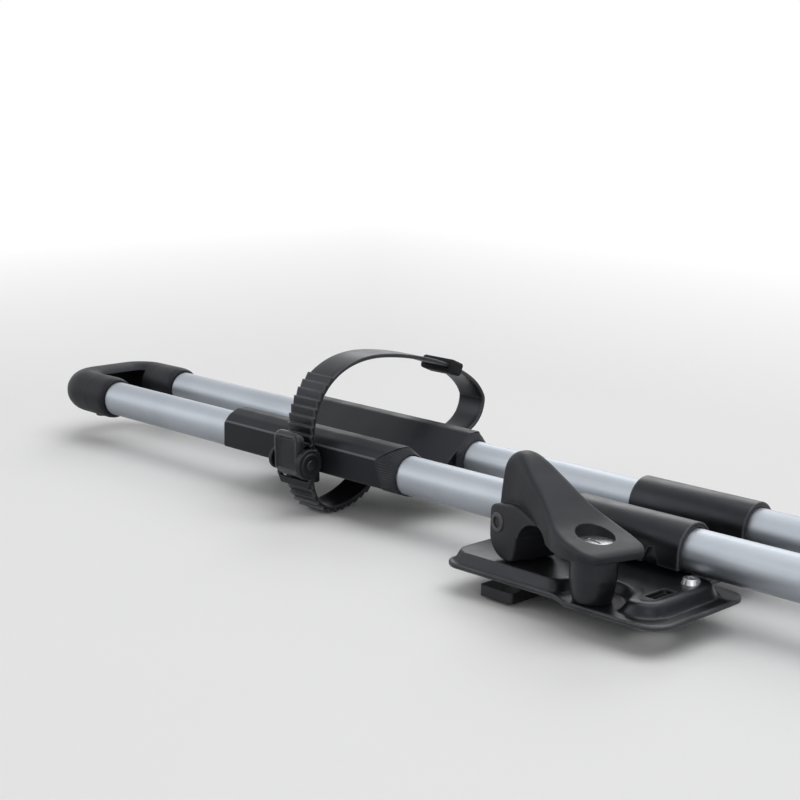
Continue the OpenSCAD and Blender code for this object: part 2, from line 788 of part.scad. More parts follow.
module cam_lever() {
    lock_bore = lock_d + 0.2;
    color(grey_plastic) at_lever() difference() {
        union() {
            intersection() {
                along_y(2 * nose_r) lever_side();
                translate([0, 0, -cam_r]) linear_extrude(cam_r + horn_h + over) lever_plan();
            }
            // Hinge cheeks, wider than the horn above them
            intersection() {
                along_y(lever_w) lever_side();
                along_y(lever_w) polygon([
                    [-2 * back_x, -cam_r], [-2 * back_x, 5], [-3, 7.5], [3, 7.5], [arch_x, 2],
                    [lever_reach - 10, nose_low], [lever_reach - 10, -cam_r]
                ]);
            }
        }
        translate([arch_x, 0, arch_z]) bar_y(2 * arch_r, 3 * nose_r);
        bar_y(lever_pin_d + 2 * seat_gap, lever_w + 2 * over);
        // Bay for the draw bolt's eye
        translate([-2 * back_x, -eye_w / 2 - move_gap, -cam_r - over])
            cube([2 * back_x + eye_r + 1.5, eye_w + 2 * move_gap, cam_r + over + eye_r + 1]);
        at_lock() {
            translate([0, 0, -lock_h - pin_gap]) cylinder(h = horn_h, d = lock_bore);
            translate([0, 0, -lock_h - stem_run]) cylinder(h = stem_run, d = stem_d + 2 * slide_gap);
        }
    }
}

module lever_pin() {
    head_t = 1.4;
    color(zinc) at_lever() {
        bar_y(lever_pin_d, lever_w);
        for (e = [-1, 1]) translate([0, e * (lever_w + head_t) / 2, 0]) bar_y(lever_pin_d * 1.4, head_t);
    }
}

module lock_post() {
    well_d = post_d - 4;
    top = hinge_z + nose_low - cam_gap - sheet;
    head_r = post_d / 2;
    color(black_plastic) translate([post_x, post_y, sheet]) difference() {
        rotate_extrude() polygon([
            [0, 0], [head_r - 2.8, 0], [head_r - 2.1, 0.8], [head_r - 0.4, top * 0.44], [head_r, top * 0.52],
            [head_r, top - 0.8], [head_r - 0.8, top], [0, top]
        ]);
        translate([0, 0, top - stem_len - 2]) cylinder(h = stem_len + 2 + over, d = well_d);
    }
}

module lock_barrel() {
    color(zinc) at_lever() at_lock() difference() {
        union() {
            translate([0, 0, -lock_h]) cylinder(h = lock_h, d = lock_d);
            translate([0, 0, -lock_h - stem_run]) cylinder(h = stem_run + 0.5, d = stem_d);
        }
        translate([-4, -0.7, -1.5]) cube([8, 1.4, 3]);
    }
}

// Arm: base on the rails, a foot that turns in its fork, the tube and the claw.
// The raised arm's own frame has its origin on the pivot and Z along the tube.

lug_w = arm_d + 2;
lug_r = arm_d / 2 - 1;
stop_gap = 0.1;
fork_gap = lug_w + 2 * move_gap;
fork_t = 8;
fork_r = 14;
pivot_z = rail_r + fork_r + 4;
base_len = 64;
foot_h = 26;
plug_len = 36;

module at_arm_base() {
    translate([arm_x, 0, rail_z]) children();
}

module at_arm() {
    at_arm_base() translate([0, 0, pivot_z]) rotate([0, arm_lean, 0]) children();
}

module arm_base() {
    sleeve_r = rail_r + seat_gap + 4;
    bridge_top = pivot_z - fork_r - 1;
    fork_y = (fork_gap + fork_t) / 2;
    color(black_plastic) difference() {
        union() {
            for (s = [-1, 1]) translate([0, s * half_pitch, 0]) bar_x(2 * sleeve_r, base_len);
            translate([0, 0, bridge_top / 2 - 3]) cube([base_len, rail_pitch, bridge_top + 6], center = true);
            for (s = [-1, 1]) translate([0, s * fork_y, 0]) along_y(fork_t) {
                translate([0, pivot_z]) circle(r = fork_r);
                polygon([[-base_len / 2 + 4, 0], [base_len / 2 - 4, 0], [fork_r - 1, pivot_z], [1 - fork_r, pivot_z]]);
            }
            // Stop that the raised arm leans on
            translate([0, 0, pivot_z]) rotate([0, arm_lean, 0])
                translate([lug_r + stop_gap, -fork_gap / 2 - over, -fork_r - 4])
                    cube([6, fork_gap + 2 * over, fork_r + 16]);
        }
        for (s = [-1, 1]) translate([0, s * half_pitch, 0])
            bar_x(rail_d + 2 * seat_gap, base_len + 2 * over);
        translate([0, 0, pivot_z]) bar_y(pivot_d + 2 * pin_gap, fork_gap + 2 * fork_t + 2 * over);
    }
}

module arm_pivot_bolt() {
    head_t = 5;
    length = fork_gap + 2 * fork_t;
    color(zinc) at_arm_base() translate([0, 0, pivot_z]) {
        bar_y(pivot_d, length);
        for (e = [-1, 1]) translate([0, e * (length + head_t) / 2, 0]) rotate([90, 0, 0])
            cylinder(h = head_t, d = hex_d(pivot_d), center = true, $fn = 6);
    }
}

module arm_foot() {
    neck_d = arm_d - 2 * arm_wall - 2 * seat_gap;
    color(black_plastic) at_arm() difference() {
        union() {
            along_y(lug_w) {
                circle(r = lug_r);
                translate([-lug_r, 0]) square([2 * lug_r, foot_h - 6]);
            }
            translate([0, 0, foot_h - 8]) cylinder(h = 8, d = arm_d + 2);
            translate([0, 0, foot_h]) cylinder(h = plug_len, d = neck_d);
        }
        bar_y(pivot_d + 2 * pin_gap, lug_w + 2 * over);
    }
}

module arm_tube() {
    color(alloy) at_arm() translate([0, 0, foot_h]) difference() {
        cylinder(h = arm_len, d = arm_d);
        translate([0, 0, -over]) cylinder(h = arm_len + 2 * over, d = arm_d - 2 * arm_wall);
    }
}

// Claw: a fixed jaw on the near side and one that slides away from it on the beam

pad_t = 3;
jaw_t = 6;
jaw_in = throat_r + pad_t + seat_gap;
jaw_out = jaw_in + jaw_t;
socket_len = 26;
beam_h = 18;
beam_z = foot_h + arm_len;
beam_top = beam_z + beam_h;
throat_z = beam_top + jaw_out + 1;
beam_near = -jaw_out - 4;
beam_far = jaw_out + jaw_travel + 6;
groove_gap = spindle_d + 8;
spindle_z = beam_z + beam_h / 2;
end_wall = 6;
jaw_sweep = 62;
jaw_root = 75;

module jaw_arc(inner, outer, start, sweep) {
    translate([0, 0, throat_z]) rotate([90, 0, 90]) rotate(start)
        translate([0, 0, -claw_w / 2]) rotate_extrude(angle = sweep)
            translate([inner, 0]) square([outer - inner, claw_w]);
}

module throat() {
    translate([0, 0, throat_z]) bar_x(2 * jaw_in, claw_w + 2 * over);
}

module claw_body() {
    color(black_plastic) at_arm() difference() {
        union() {
            translate([0, 0, beam_z - socket_len]) cylinder(h = socket_len + 1, d = arm_d + 8);
            translate([-claw_w / 2, beam_near, beam_z]) cube([claw_w, beam_far - beam_near, beam_h]);
            jaw_arc(jaw_in - over, jaw_out, 180 - jaw_sweep, jaw_sweep + jaw_root);
            translate([-claw_w / 2, beam_near, beam_top - over])
                cube([claw_w, -beam_near - jaw_in * 0.72, jaw_out * 0.55]);
        }
        translate([0, 0, beam_z - socket_len - over])
            cylinder(h = socket_len + over, d = arm_d + 2 * seat_gap);
        // Groove that guides the moving jaw
        translate([-groove_gap / 2, -jaw_in * 0.6, beam_z + 3])
            cube([groove_gap, beam_far - end_wall + jaw_in * 0.6, beam_h]);
        translate([0, (beam_near + beam_far) / 2, spindle_z])
            bar_y(spindle_d + 2 * pin_gap, beam_far - beam_near + 2 * over);
        throat();
    }
}

module claw_pad() {
    color(rubber) at_arm() jaw_arc(throat_r, throat_r + pad_t, 180 - jaw_sweep + 4, 2 * jaw_sweep - 8);
}

module claw_jaw() {
    base_y = jaw_in * 0.5;
    tongue_w = groove_gap - 2 * slide_gap;
    color(black_plastic) at_arm() difference() {
        union() {
            jaw_arc(jaw_in - over, jaw_out, -jaw_root, jaw_sweep + jaw_root);
            translate([-claw_w / 2, base_y, beam_top + slide_gap])
                cube([claw_w, jaw_out + 2 - base_y, jaw_out * 0.55]);
            translate([-tongue_w / 2, base_y, beam_z + 3 + slide_gap])
                cube([tongue_w, jaw_out - base_y, beam_h]);
        }
        throat();
        translate([0, jaw_in, spindle_z]) bar_y(spindle_d + 2 * pin_gap, 4 * jaw_out);
    }
}

module jaw_pad() {
    color(rubber) at_arm() jaw_arc(throat_r, throat_r + pad_t, 4 - jaw_sweep, 2 * jaw_sweep - 8);
}

knob_h = 18;
knob_gap = 0.5;

module claw_spindle() {
    length = beam_far - beam_near + knob_gap + knob_h - 4;
    color(zinc) at_arm() translate([0, beam_far - length / 2, spindle_z]) bar_y(spindle_d, length);
}

module claw_knob() {
    lobes = 6;
    flute_r = knob_d * 0.14;
    color(black_plastic) at_arm()
        translate([0, beam_near - knob_gap, spindle_z]) rotate([90, 0, 0]) difference() {
            union() {
                cylinder(h = 4, d = knob_d * 0.5);
                translate([0, 0, 4]) cylinder(h = knob_h - 6, d = knob_d);
                translate([0, 0, knob_h - 2]) cylinder(h = 2, d1 = knob_d, d2 = knob_d - 4);
            }
            for (i = [0:lobes - 1]) rotate(i * 360 / lobes) translate([knob_d / 2 + flute_r * 0.45, 0, -over])
                cylinder(h = knob_h + 2 * over, r = flute_r);
            translate([0, 0, -over]) cylinder(h = knob_h - 4 + over, d = spindle_d + 2 * seat_gap);
        }
}

rail(-1);  // rail_right
rail(1);  // rail_left
at_end(0) end_cap();  // rear_end_cap
at_end(1) end_cap();  // front_end_cap
end_cap_screws();
at_cradle(0) cradle();  // rear_cradle
at_cradle(0) set_screws();  // rear_set_screws
at_cradle(0) buckle();  // rear_buckle
at_cradle(0) buckle_pin();  // rear_buckle_pin
at_cradle(0) release_lever();  // rear_release_lever
at_cradle(0) release_spring();  // rear_release_spring
at_cradle(0) strap();  // rear_strap
at_cradle(0) strap_pin();  // rear_strap_pin
at_cradle(0) strap_keeper();  // rear_strap_keeper
at_cradle(1) cradle();  // front_cradle
at_cradle(1) set_screws();  // front_set_screws
at_cradle(1) buckle();  // front_buckle
at_cradle(1) buckle_pin();  // front_buckle_pin
at_cradle(1) release_lever();  // front_release_lever
at_cradle(1) release_spring();  // front_release_spring
at_cradle(1) strap();  // front_strap
at_cradle(1) strap_pin();  // front_strap_pin
at_cradle(1) strap_keeper();  // front_strap_keeper
at_foot(0) foot_plate();  // rear_foot_plate
at_foot(0) foot_pad();  // rear_foot_pad
at_foot(0) tube_clamp();  // rear_tube_clamp
at_foot(0) clamp_bolts();  // rear_clamp_bolts
at_foot(0) clamp_nuts();  // rear_clamp_nuts
at_foot(0) pad_screw();  // rear_pad_screw
at_foot(0) draw_bolt();  // rear_draw_bolt
at_foot(0) t_nut();  // rear_t_nut
at_foot(0) cam_lever();  // rear_cam_lever
at_foot(0) lever_pin();  // rear_lever_pin
at_foot(0) lock_post();  // rear_lock_post
at_foot(0) lock_barrel();  // rear_lock_barrel
at_foot(1) foot_plate();  // front_foot_plate
at_foot(1) foot_pad();  // front_foot_pad
at_foot(1) tube_clamp();  // front_tube_clamp
at_foot(1) clamp_bolts();  // front_clamp_bolts
at_foot(1) clamp_nuts();  // front_clamp_nuts
at_foot(1) pad_screw();  // front_pad_screw
at_foot(1) draw_bolt();  // front_draw_bolt
at_foot(1) t_nut();  // front_t_nut
at_foot(1) cam_lever();  // front_cam_lever
at_foot(1) lever_pin();  // front_lever_pin
at_foot(1) lock_post();  // front_lock_post
at_foot(1) lock_barrel();  // front_lock_barrel
at_arm_base() arm_base();
arm_pivot_bolt();
arm_foot();
arm_tube();
claw_body();
claw_pad();
claw_jaw();
jaw_pad();
claw_spindle();
claw_knob();
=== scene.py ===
"""Looks of a twin-rail roof carrier for one bicycle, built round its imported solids."""
import json
import math

import bmesh
import bpy
import numpy as np
from mathutils import Matrix, Vector
from mathutils.geometry import tessellate_polygon

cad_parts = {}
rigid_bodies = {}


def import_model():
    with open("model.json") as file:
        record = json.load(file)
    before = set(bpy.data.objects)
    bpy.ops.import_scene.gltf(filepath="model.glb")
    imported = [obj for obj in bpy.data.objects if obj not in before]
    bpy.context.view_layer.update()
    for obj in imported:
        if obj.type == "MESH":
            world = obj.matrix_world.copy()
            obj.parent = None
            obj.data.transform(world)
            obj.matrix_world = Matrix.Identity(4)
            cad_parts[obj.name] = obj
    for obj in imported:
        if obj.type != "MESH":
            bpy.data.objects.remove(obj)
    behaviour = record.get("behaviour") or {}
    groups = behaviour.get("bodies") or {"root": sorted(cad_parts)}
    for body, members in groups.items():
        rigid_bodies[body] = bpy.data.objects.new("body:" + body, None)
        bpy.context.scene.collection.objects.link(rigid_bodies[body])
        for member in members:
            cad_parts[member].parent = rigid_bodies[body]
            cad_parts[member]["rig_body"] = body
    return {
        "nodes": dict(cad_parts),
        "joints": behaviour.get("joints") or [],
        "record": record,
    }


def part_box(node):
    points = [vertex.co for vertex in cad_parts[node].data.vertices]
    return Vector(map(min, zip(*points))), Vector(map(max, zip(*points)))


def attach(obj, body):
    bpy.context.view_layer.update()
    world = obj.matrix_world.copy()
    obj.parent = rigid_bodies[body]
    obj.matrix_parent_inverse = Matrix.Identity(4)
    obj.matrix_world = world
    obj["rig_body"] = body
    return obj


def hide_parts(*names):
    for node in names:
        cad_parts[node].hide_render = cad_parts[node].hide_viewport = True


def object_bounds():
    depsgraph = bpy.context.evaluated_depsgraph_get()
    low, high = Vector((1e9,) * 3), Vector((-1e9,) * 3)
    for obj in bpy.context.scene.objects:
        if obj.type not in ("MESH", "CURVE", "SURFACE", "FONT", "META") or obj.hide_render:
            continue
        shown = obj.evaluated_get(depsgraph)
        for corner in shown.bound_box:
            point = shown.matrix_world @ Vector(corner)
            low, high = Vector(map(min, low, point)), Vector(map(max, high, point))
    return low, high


MM = 0.001

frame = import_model()
nodes = frame["nodes"]
scene = bpy.context.scene
cad_low, cad_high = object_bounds()
joints = {joint["name"]: joint for joint in frame["joints"]}
ENDS = {"rear": 1, "front": -1}
SIDES = (-1, 1)


def add_object(name, data):
    """A new object of the scene for a mesh, camera or lamp."""
    item = bpy.data.objects.new(name, data)
    scene.collection.objects.link(item)
    return item


# Camera at the photograph's viewing angle

CAMERA_AT = Vector((410.5, -606.0, 221.75)) * MM
CAMERA_AZIMUTH = math.radians(43.88)
CAMERA_ELEVATION = math.radians(11.67)
CAMERA_ROLL = math.radians(-1.48)
CAMERA_LENS = 73.45
CAMERA_NEAR = 0.01
SENSOR_WIDTH = 36.0


def make_camera():
    """Looks along the azimuth and elevation, then rolls about the line of sight."""
    level = math.cos(CAMERA_ELEVATION)
    east, north = math.cos(CAMERA_AZIMUTH), math.sin(CAMERA_AZIMUTH)
    forward = Vector((-north * level, east * level, -math.sin(CAMERA_ELEVATION)))
    right_level = Vector((east, north, 0))
    down_level = forward.cross(right_level)
    c, s = math.cos(CAMERA_ROLL), math.sin(CAMERA_ROLL)
    right = c * right_level + s * down_level
    down = c * down_level - s * right_level
    data = bpy.data.cameras.new("photo_camera")
    data.lens = CAMERA_LENS
    data.sensor_width = SENSOR_WIDTH
    data.clip_start = CAMERA_NEAR
    camera = add_object("photo_camera", data)
    turn = Matrix((right, -down, -forward)).transposed().to_4x4()
    camera.matrix_world = Matrix.Translation(CAMERA_AT) @ turn
    scene.camera = camera


make_camera()


# Materials: each is a Principled surface with grain, bump and roughness of its own

SOFT_EDGE = 0.6 * MM
# Pale edges: partly rub marks, partly a painted highlight and glint along every sharp edge
RUB_GLINT_WIDTH = 1.5 * MM
RUB_GLINT_TURN = (0.945, 0.998)
RUB_GLINT_SCALE = 70.0
RUB_GLINT_LEAST = 0.3
RUB_GLINT_BLUE = 1.04
MOTTLE_SCALE = 45.0
CLOUD_SCALE = 90.0
CLOUD_LESS = 0.06
CLOUD_MORE = 0.07
GRAIN_HEIGHT = 0.12 * MM
COOL_SHEEN = (0.84, 0.88, 1.0, 1.0)
# Painted highlight line along the cradles' creases: its colour, its width and its place
CREASE_HIGHLIGHT_PALE = (0.10, 0.105, 0.11)
CREASE_HIGHLIGHT_WIDTH = (0.3 * MM, 0.8 * MM)
CREASE_HIGHLIGHT_AT = (38.2 * MM, 25.75 * MM)
METAL_EDGE = 0.4 * MM
METAL_CLOUD = 22.0
STREAK_LESS = 0.07
STREAK_MORE = 0.08
STREAK_HEIGHT = 0.04 * MM
STREAK_BUMP = 0.25


def set_inputs(tree, node, inputs):
    """Gives a node's inputs their constants, or links them to sockets."""
    for key, value in inputs.items():
        if isinstance(value, bpy.types.NodeSocket):
            tree.links.new(value, node.inputs[key])
        else:
            node.inputs[key].default_value = value


def add_node(tree, kind, result, inputs, **settings):
    """Output of a new shader node with its inputs and settings."""
    node = tree.nodes.new("ShaderNode" + kind)
    for key, value in settings.items():
        setattr(node, key, value)
    set_inputs(tree, node, inputs)
    return node.outputs[result]


def new_material(name):
    """An empty Principled material with its object-space coordinates."""
    material = bpy.data.materials.new(name)
    material.use_nodes = True
    tree = material.node_tree
    return material, tree, tree.nodes["Principled BSDF"], add_node(tree, "TexCoord", "Object", {})


def add_step(tree, kind, operation, *values, result="Value"):
    """Result of a Math or VectorMath node on sockets and constants."""
    return add_node(tree, kind, result, dict(enumerate(values)), operation=operation)


def add_noise(tree, place, scale, detail, stretch=None):
    """Noise value over the object's own coordinates, stretched along an axis where asked."""
    if stretch:
        place = add_node(tree, "Mapping", "Vector", {"Vector": place, "Scale": stretch})
    return add_node(tree, "TexNoise", "Fac", {"Vector": place, "Scale": scale, "Detail": detail})


def add_range(tree, value, low, high, start=0.3, end=0.7):
    """Maps a value between start and end to the span from low to high."""
    ends = {"From Min": start, "From Max": end, "To Min": low, "To Max": high}
    return add_node(tree, "MapRange", "Result", {"Value": value, **ends})


def add_mix(tree, share, first, second):
    """Colour between two constants or sockets by a share."""
    first, second = ((*c, 1.0) if isinstance(c, tuple) else c for c in (first, second))
    return add_node(tree, "Mix", "Result", {"Factor": share, "A": first, "B": second}, data_type="RGBA")


def add_soft_edge(tree, radius):
    """Normal that rounds the edges of a surface over a radius."""
    return add_node(tree, "Bevel", "Normal", {"Radius": radius}, samples=4)


def add_bump(tree, height, distance, strength, edge):
    """Bump of a height value over a surface whose edges are rounded by a radius."""
    look = {"Height": height, "Distance": distance, "Strength": strength}
    return add_node(tree, "Bump", "Normal", {**look, "Normal": add_soft_edge(tree, edge)})


def add_rub_and_glint_mask(tree):
    """One where a rounded normal leaves the face's own, along an edge: the place of rub marks and of a
    painted edge highlight.
    """
    face = add_node(tree, "NewGeometry", "Normal", {})
    turn = add_step(tree, "VectorMath", "DOT_PRODUCT", add_soft_edge(tree, RUB_GLINT_WIDTH), face)
    return add_range(tree, turn, 1.0, 0.0, *RUB_GLINT_TURN)


def add_crease_highlight(tree, place, aside, height):
    """Painted highlight mask: one on the two lines along X at a distance aside in Y and at a height, fading
    beside them.
    """
    flat = add_step(tree, "VectorMath", "MULTIPLY", place, (0.0, 1.0, 1.0), result="Vector")
    fold = add_step(tree, "VectorMath", "ABSOLUTE", flat, result="Vector")
    gap = add_step(tree, "VectorMath", "DISTANCE", fold, (0.0, aside, height))
    return add_range(tree, gap, 1.0, 0.0, *CREASE_HIGHLIGHT_WIDTH)


def moulded(name, dark, pale, rough, grain_scale=1400.0, grain=0.35, shine=0.25, rub_and_glint_pale=0.06, rub_and_glint_share=0.4,
            crease=None):
    """Plastic or paint: fine grain, slow mottling, paler edges that are partly rub marks and partly painted
    highlight, and a painted highlight line along a crease where given.
    """
    material, tree, shader, place = new_material(name)
    mottle = add_noise(tree, place, MOTTLE_SCALE, 4.0)
    body = add_mix(tree, add_range(tree, mottle, 0.0, 1.0), dark, pale)
    # Edges paled partly as rub marks and partly as a painted highlight
    patches = add_range(tree, add_noise(tree, place, RUB_GLINT_SCALE, 5.0), rub_and_glint_share * RUB_GLINT_LEAST, rub_and_glint_share)
    rub_and_glint = add_step(tree, "Math", "MULTIPLY", add_rub_and_glint_mask(tree), patches)
    colour = add_mix(tree, rub_and_glint, body, (rub_and_glint_pale, rub_and_glint_pale, rub_and_glint_pale * RUB_GLINT_BLUE))
    # A painted highlight line along the crease
    if crease:
        colour = add_mix(tree, add_crease_highlight(tree, place, *crease), colour, CREASE_HIGHLIGHT_PALE)
    cloud = add_noise(tree, place, CLOUD_SCALE, 5.0)
    speckle = add_noise(tree, place, grain_scale, 2.0)
    set_inputs(tree, shader, {
        "Base Color": colour,
        "Roughness": add_range(tree, cloud, rough - CLOUD_LESS, rough + CLOUD_MORE),
        "Normal": add_bump(tree, speckle, GRAIN_HEIGHT, grain, SOFT_EDGE),
        "Specular IOR Level": shine,
        "Specular Tint": COOL_SHEEN,
    })
    return material


def brushed(name, dark, pale, rough, streak_scale=420.0, streak=(1.0, 1.0, 1.0)):
    """Bare or anodised metal: fine drawing lines along the stretch axis and faint cloudiness."""
    material, tree, shader, place = new_material(name)
    lines = add_noise(tree, place, streak_scale, 4.0, streak)
    cloud = add_noise(tree, place, METAL_CLOUD, 4.0)
    set_inputs(tree, shader, {
        "Metallic": 1.0,
        "Base Color": add_mix(tree, add_range(tree, cloud, 0.0, 1.0), dark, pale),
        "Roughness": add_range(tree, lines, rough - STREAK_LESS, rough + STREAK_MORE),
        "Normal": add_bump(tree, lines, STREAK_HEIGHT, STREAK_BUMP, METAL_EDGE),
    })
    return material


# Each finish by its darker and paler colour, its roughness and what sets it apart
PLAIN = dict(dark=(0.006, 0.0065, 0.008), pale=(0.009, 0.0096, 0.0115), rough=0.44, rub_and_glint_pale=0.10)
PLASTICS = {
    "cap_plastic": dict(dark=(0.007, 0.007, 0.009), pale=(0.011, 0.011, 0.013), rough=0.48, shine=0.22,
                        rub_and_glint_share=0.0),
    "moulded_plastic": PLAIN,
    # The cradles' plastic carries the painted highlight line along its crease
    "cradle_plastic": dict(PLAIN, shine=0.23, crease=CREASE_HIGHLIGHT_AT),
    # The buckle and strap get strong pale edges that stand for glints on the ends of the teeth: painted
    # highlight as well as rub marks
    "buckle_plastic": dict(dark=(0.007, 0.007, 0.008), pale=(0.010, 0.010, 0.012), rough=0.32, grain=0.15,
                           shine=0.34, rub_and_glint_pale=0.16, rub_and_glint_share=0.8),
    "strap_plastic": dict(dark=(0.008, 0.008, 0.010), pale=(0.012, 0.012, 0.014), rough=0.35, grain=0.2,
                          shine=0.32, rub_and_glint_pale=0.16, rub_and_glint_share=0.8),
    "lever_plastic": dict(dark=(0.011, 0.011, 0.013), pale=(0.016, 0.016, 0.018), rough=0.46, grain=0.5),
    "post_gloss": dict(dark=(0.008, 0.008, 0.009), pale=(0.012, 0.012, 0.013), rough=0.34, grain=0.1,
                       shine=0.4),
    # Its pale edges stand for the bright lines along the clamps' rims: painted highlight as well as rub marks
    "powder_steel": dict(dark=(0.006, 0.006, 0.007), pale=(0.010, 0.010, 0.011), rough=0.34,
                         grain_scale=700.0, grain=0.3, shine=0.3, rub_and_glint_pale=0.22, rub_and_glint_share=0.7),
    "rubber": dict(dark=(0.012, 0.012, 0.012), pale=(0.018, 0.018, 0.018), rough=0.72,
                   grain_scale=900.0, grain=0.4, shine=0.2, rub_and_glint_pale=0.03),
}
METALS = {
    "anodised_alloy": dict(dark=(0.325, 0.35, 0.385), pale=(0.38, 0.407, 0.445), rough=0.49,
                           streak_scale=260.0, streak=(0.03, 1.0, 1.0)),
    "zinc_steel": dict(dark=(0.50, 0.51, 0.53), pale=(0.60, 0.61, 0.62), rough=0.34),
    "dark_steel": dict(dark=(0.06, 0.06, 0.065), pale=(0.10, 0.10, 0.105), rough=0.38),
    "black_zinc": dict(dark=(0.035, 0.035, 0.038), pale=(0.06, 0.06, 0.065), rough=0.42),
    "lock_metal": dict(dark=(0.55, 0.56, 0.57), pale=(0.62, 0.63, 0.64), rough=0.30, streak_scale=2400.0),
}
finishes = {name: moulded(name, **look) for name, look in PLASTICS.items()}
finishes.update({name: brushed(name, **look) for name, look in METALS.items()})
slot_of = {row["node"]: row["material_slot"] for row in frame["record"]["subparts"]}


def dress(piece, slot, finish=None):
    """Gives a piece its slot's finish, or one of its own."""
    piece.data.materials.clear()
    piece.data.materials.append(finishes[finish or slot])


for name, piece in nodes.items():
    hidden_steel = name == "end_cap_screws" or name.endswith(("_t_nut", "_set_screws", "_release_spring"))
    dress(piece, slot_of[name], "black_zinc" if hidden_steel else None)


# Grids and pieces

SHARP_ANGLE = 35.0
SAME_POINT = 1e-7


def smooth_step(value, low, high):
    """Rises from 0 at low to 1 at high with level ends."""
    t = np.clip((np.asarray(value, float) - low) / (high - low), 0.0, 1.0)
    return t * t * (3.0 - 2.0 * t)


def through(controls, steps):
    """Catmull-Rom curve through the control rows, with a number of steps between neighbours."""
    points = np.asarray(controls, float)
    padded = np.vstack([2 * points[0] - points[1], points, 2 * points[-1] - points[-2]])
    t = np.linspace(0.0, 1.0, steps, endpoint=False)[None, :, None]
    a, b, c, d = (padded[k:len(padded) - 3 + k, None, :] for k in range(4))
    square, cube = 2 * a - 5 * b + 4 * c - d, 3 * b - a - 3 * c + d
    curve = 0.5 * (2 * b + (c - a) * t + square * t ** 2 + cube * t ** 3)
    return np.vstack([curve.reshape(-1, points.shape[1]), points[-1]])


def unit(rows):
    """Vectors brought to length one."""
    return rows / np.linalg.norm(rows, axis=-1, keepdims=True)


def run_along(line):
    """Distance along a line to each of its points."""
    return np.concatenate([[0], np.cumsum(np.linalg.norm(np.diff(line, axis=0), axis=1))])


def at_run(distance, run, line):
    """Points of a line at distances along it."""
    return np.stack([np.interp(distance, run, line[:, k]) for k in (0, 1)], -1)


def eased(corners, radii, steps=6):
    """Closed outline whose corners are arcs of the given radii, with the same count of points at each."""
    corners = np.asarray(corners, float)
    radii = np.broadcast_to(np.asarray(radii, float), len(corners))[:, None]
    back = unit(np.roll(corners, 1, 0) - corners)
    ahead = unit(np.roll(corners, -1, 0) - corners)
    half = np.arccos(np.clip((back * ahead).sum(1, keepdims=True), -1, 1)) / 2
    reach = radii / np.tan(half)
    t = np.linspace(0.0, 1.0, steps + 1)[None, :, None]
    start, end = (corners + back * reach)[:, None], (corners + ahead * reach)[:, None]
    weight = np.sin(half)[:, None]
    top = start * (1 - t) ** 2 + 2 * weight * t * (1 - t) * corners[:, None] + end * t ** 2
    return (top / ((1 - t) ** 2 + 2 * weight * t * (1 - t) + t ** 2)).reshape(-1, 2)


def smooth(mesh, sharp):
    """Smooth shading but for edges over an angle in degrees."""
    mesh.shade_smooth()
    mesh.set_sharp_from_angle(angle=math.radians(sharp))


def solid(*grids, name="tool", sharp=SHARP_ANGLE, caps=True, plan=None):
    """Tubes of rings, in millimetres, as one piece or as a tool that shapes one.

    Each end is closed by one face, or by triangles over a plan's two axes, or left open."""
    faces = []
    first = 0
    for grid in grids:
        rows, columns = grid.shape[:2]
        i, j = np.meshgrid(np.arange(rows - 1) * columns + first, np.arange(columns), indexing="ij")
        nxt = (j + 1) % columns
        quads = np.stack([i + j, i + nxt, i + columns + nxt, i + columns + j], -1)
        faces += quads.reshape(-1, 4).tolist()
        for row in (0, rows - 1) if caps else ():
            ring = range(first + row * columns, first + (row + 1) * columns)
            if plan is None:
                faces.append(list(ring))
            else:
                flat = [Vector((*point[plan], 0.0)) for point in grid[row]]
                faces += [[ring[k] for k in corner] for corner in tessellate_polygon([flat])]
        first += rows * columns
    points = np.vstack([grid.reshape(-1, 3) for grid in grids]) * MM
    mesh = bpy.data.meshes.new(name)
    mesh.from_pydata(points.tolist(), [], faces)
    work = bmesh.new()
    work.from_mesh(mesh)
    bmesh.ops.remove_doubles(work, verts=work.verts, dist=SAME_POINT)
    bmesh.ops.recalc_face_normals(work, faces=work.faces)
    work.to_mesh(mesh)
    work.free()
    smooth(mesh, sharp)
    return add_object(name, mesh)


def combine(piece, tools, operation="DIFFERENCE", sharp=SHARP_ANGLE):
    """Takes the tools' volumes out of a piece, or joins them to it, and removes the tools."""
    for tool in tools:
        step = piece.modifiers.new("combine", "BOOLEAN")
        step.operation = operation
        step.solver = "MANIFOLD"
        step.object = tool
    bpy.context.view_layer.update()
    graph = bpy.context.evaluated_depsgraph_get()
    mesh = bpy.data.meshes.new_from_object(piece.evaluated_get(graph))
    piece.modifiers.clear()
    old = piece.data
    piece.data = mesh
    bpy.data.meshes.remove(old)
    for tool in tools:
        bpy.data.objects.remove(tool)
    smooth(mesh, sharp)


def settle(piece, node, finish=None):
    """A new piece rides on its node's body, takes its finish and stands for it."""
    dress(piece, slot_of[node], finish)
    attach(piece, nodes[node]["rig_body"])
    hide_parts(node)


def inset(outline, depth):
    """Moves each point of a closed outline inwards along the mean of its two side normals."""
    along = np.roll(outline, -1, 0) - np.roll(outline, 1, 0)
    along /= np.maximum(np.linalg.norm(along, axis=1, keepdims=True), 1e-9)
    x, y = outline[:, 0], outline[:, 1]
    area = np.sum(x * np.roll(y, -1) - y * np.roll(x, -1))
    return outline + depth * np.sign(area) * np.stack([-along[:, 1], along[:, 0]], -1)


def beside(axis):
    """The two axes across an axis."""
    return [k for k in range(3) if k != axis]


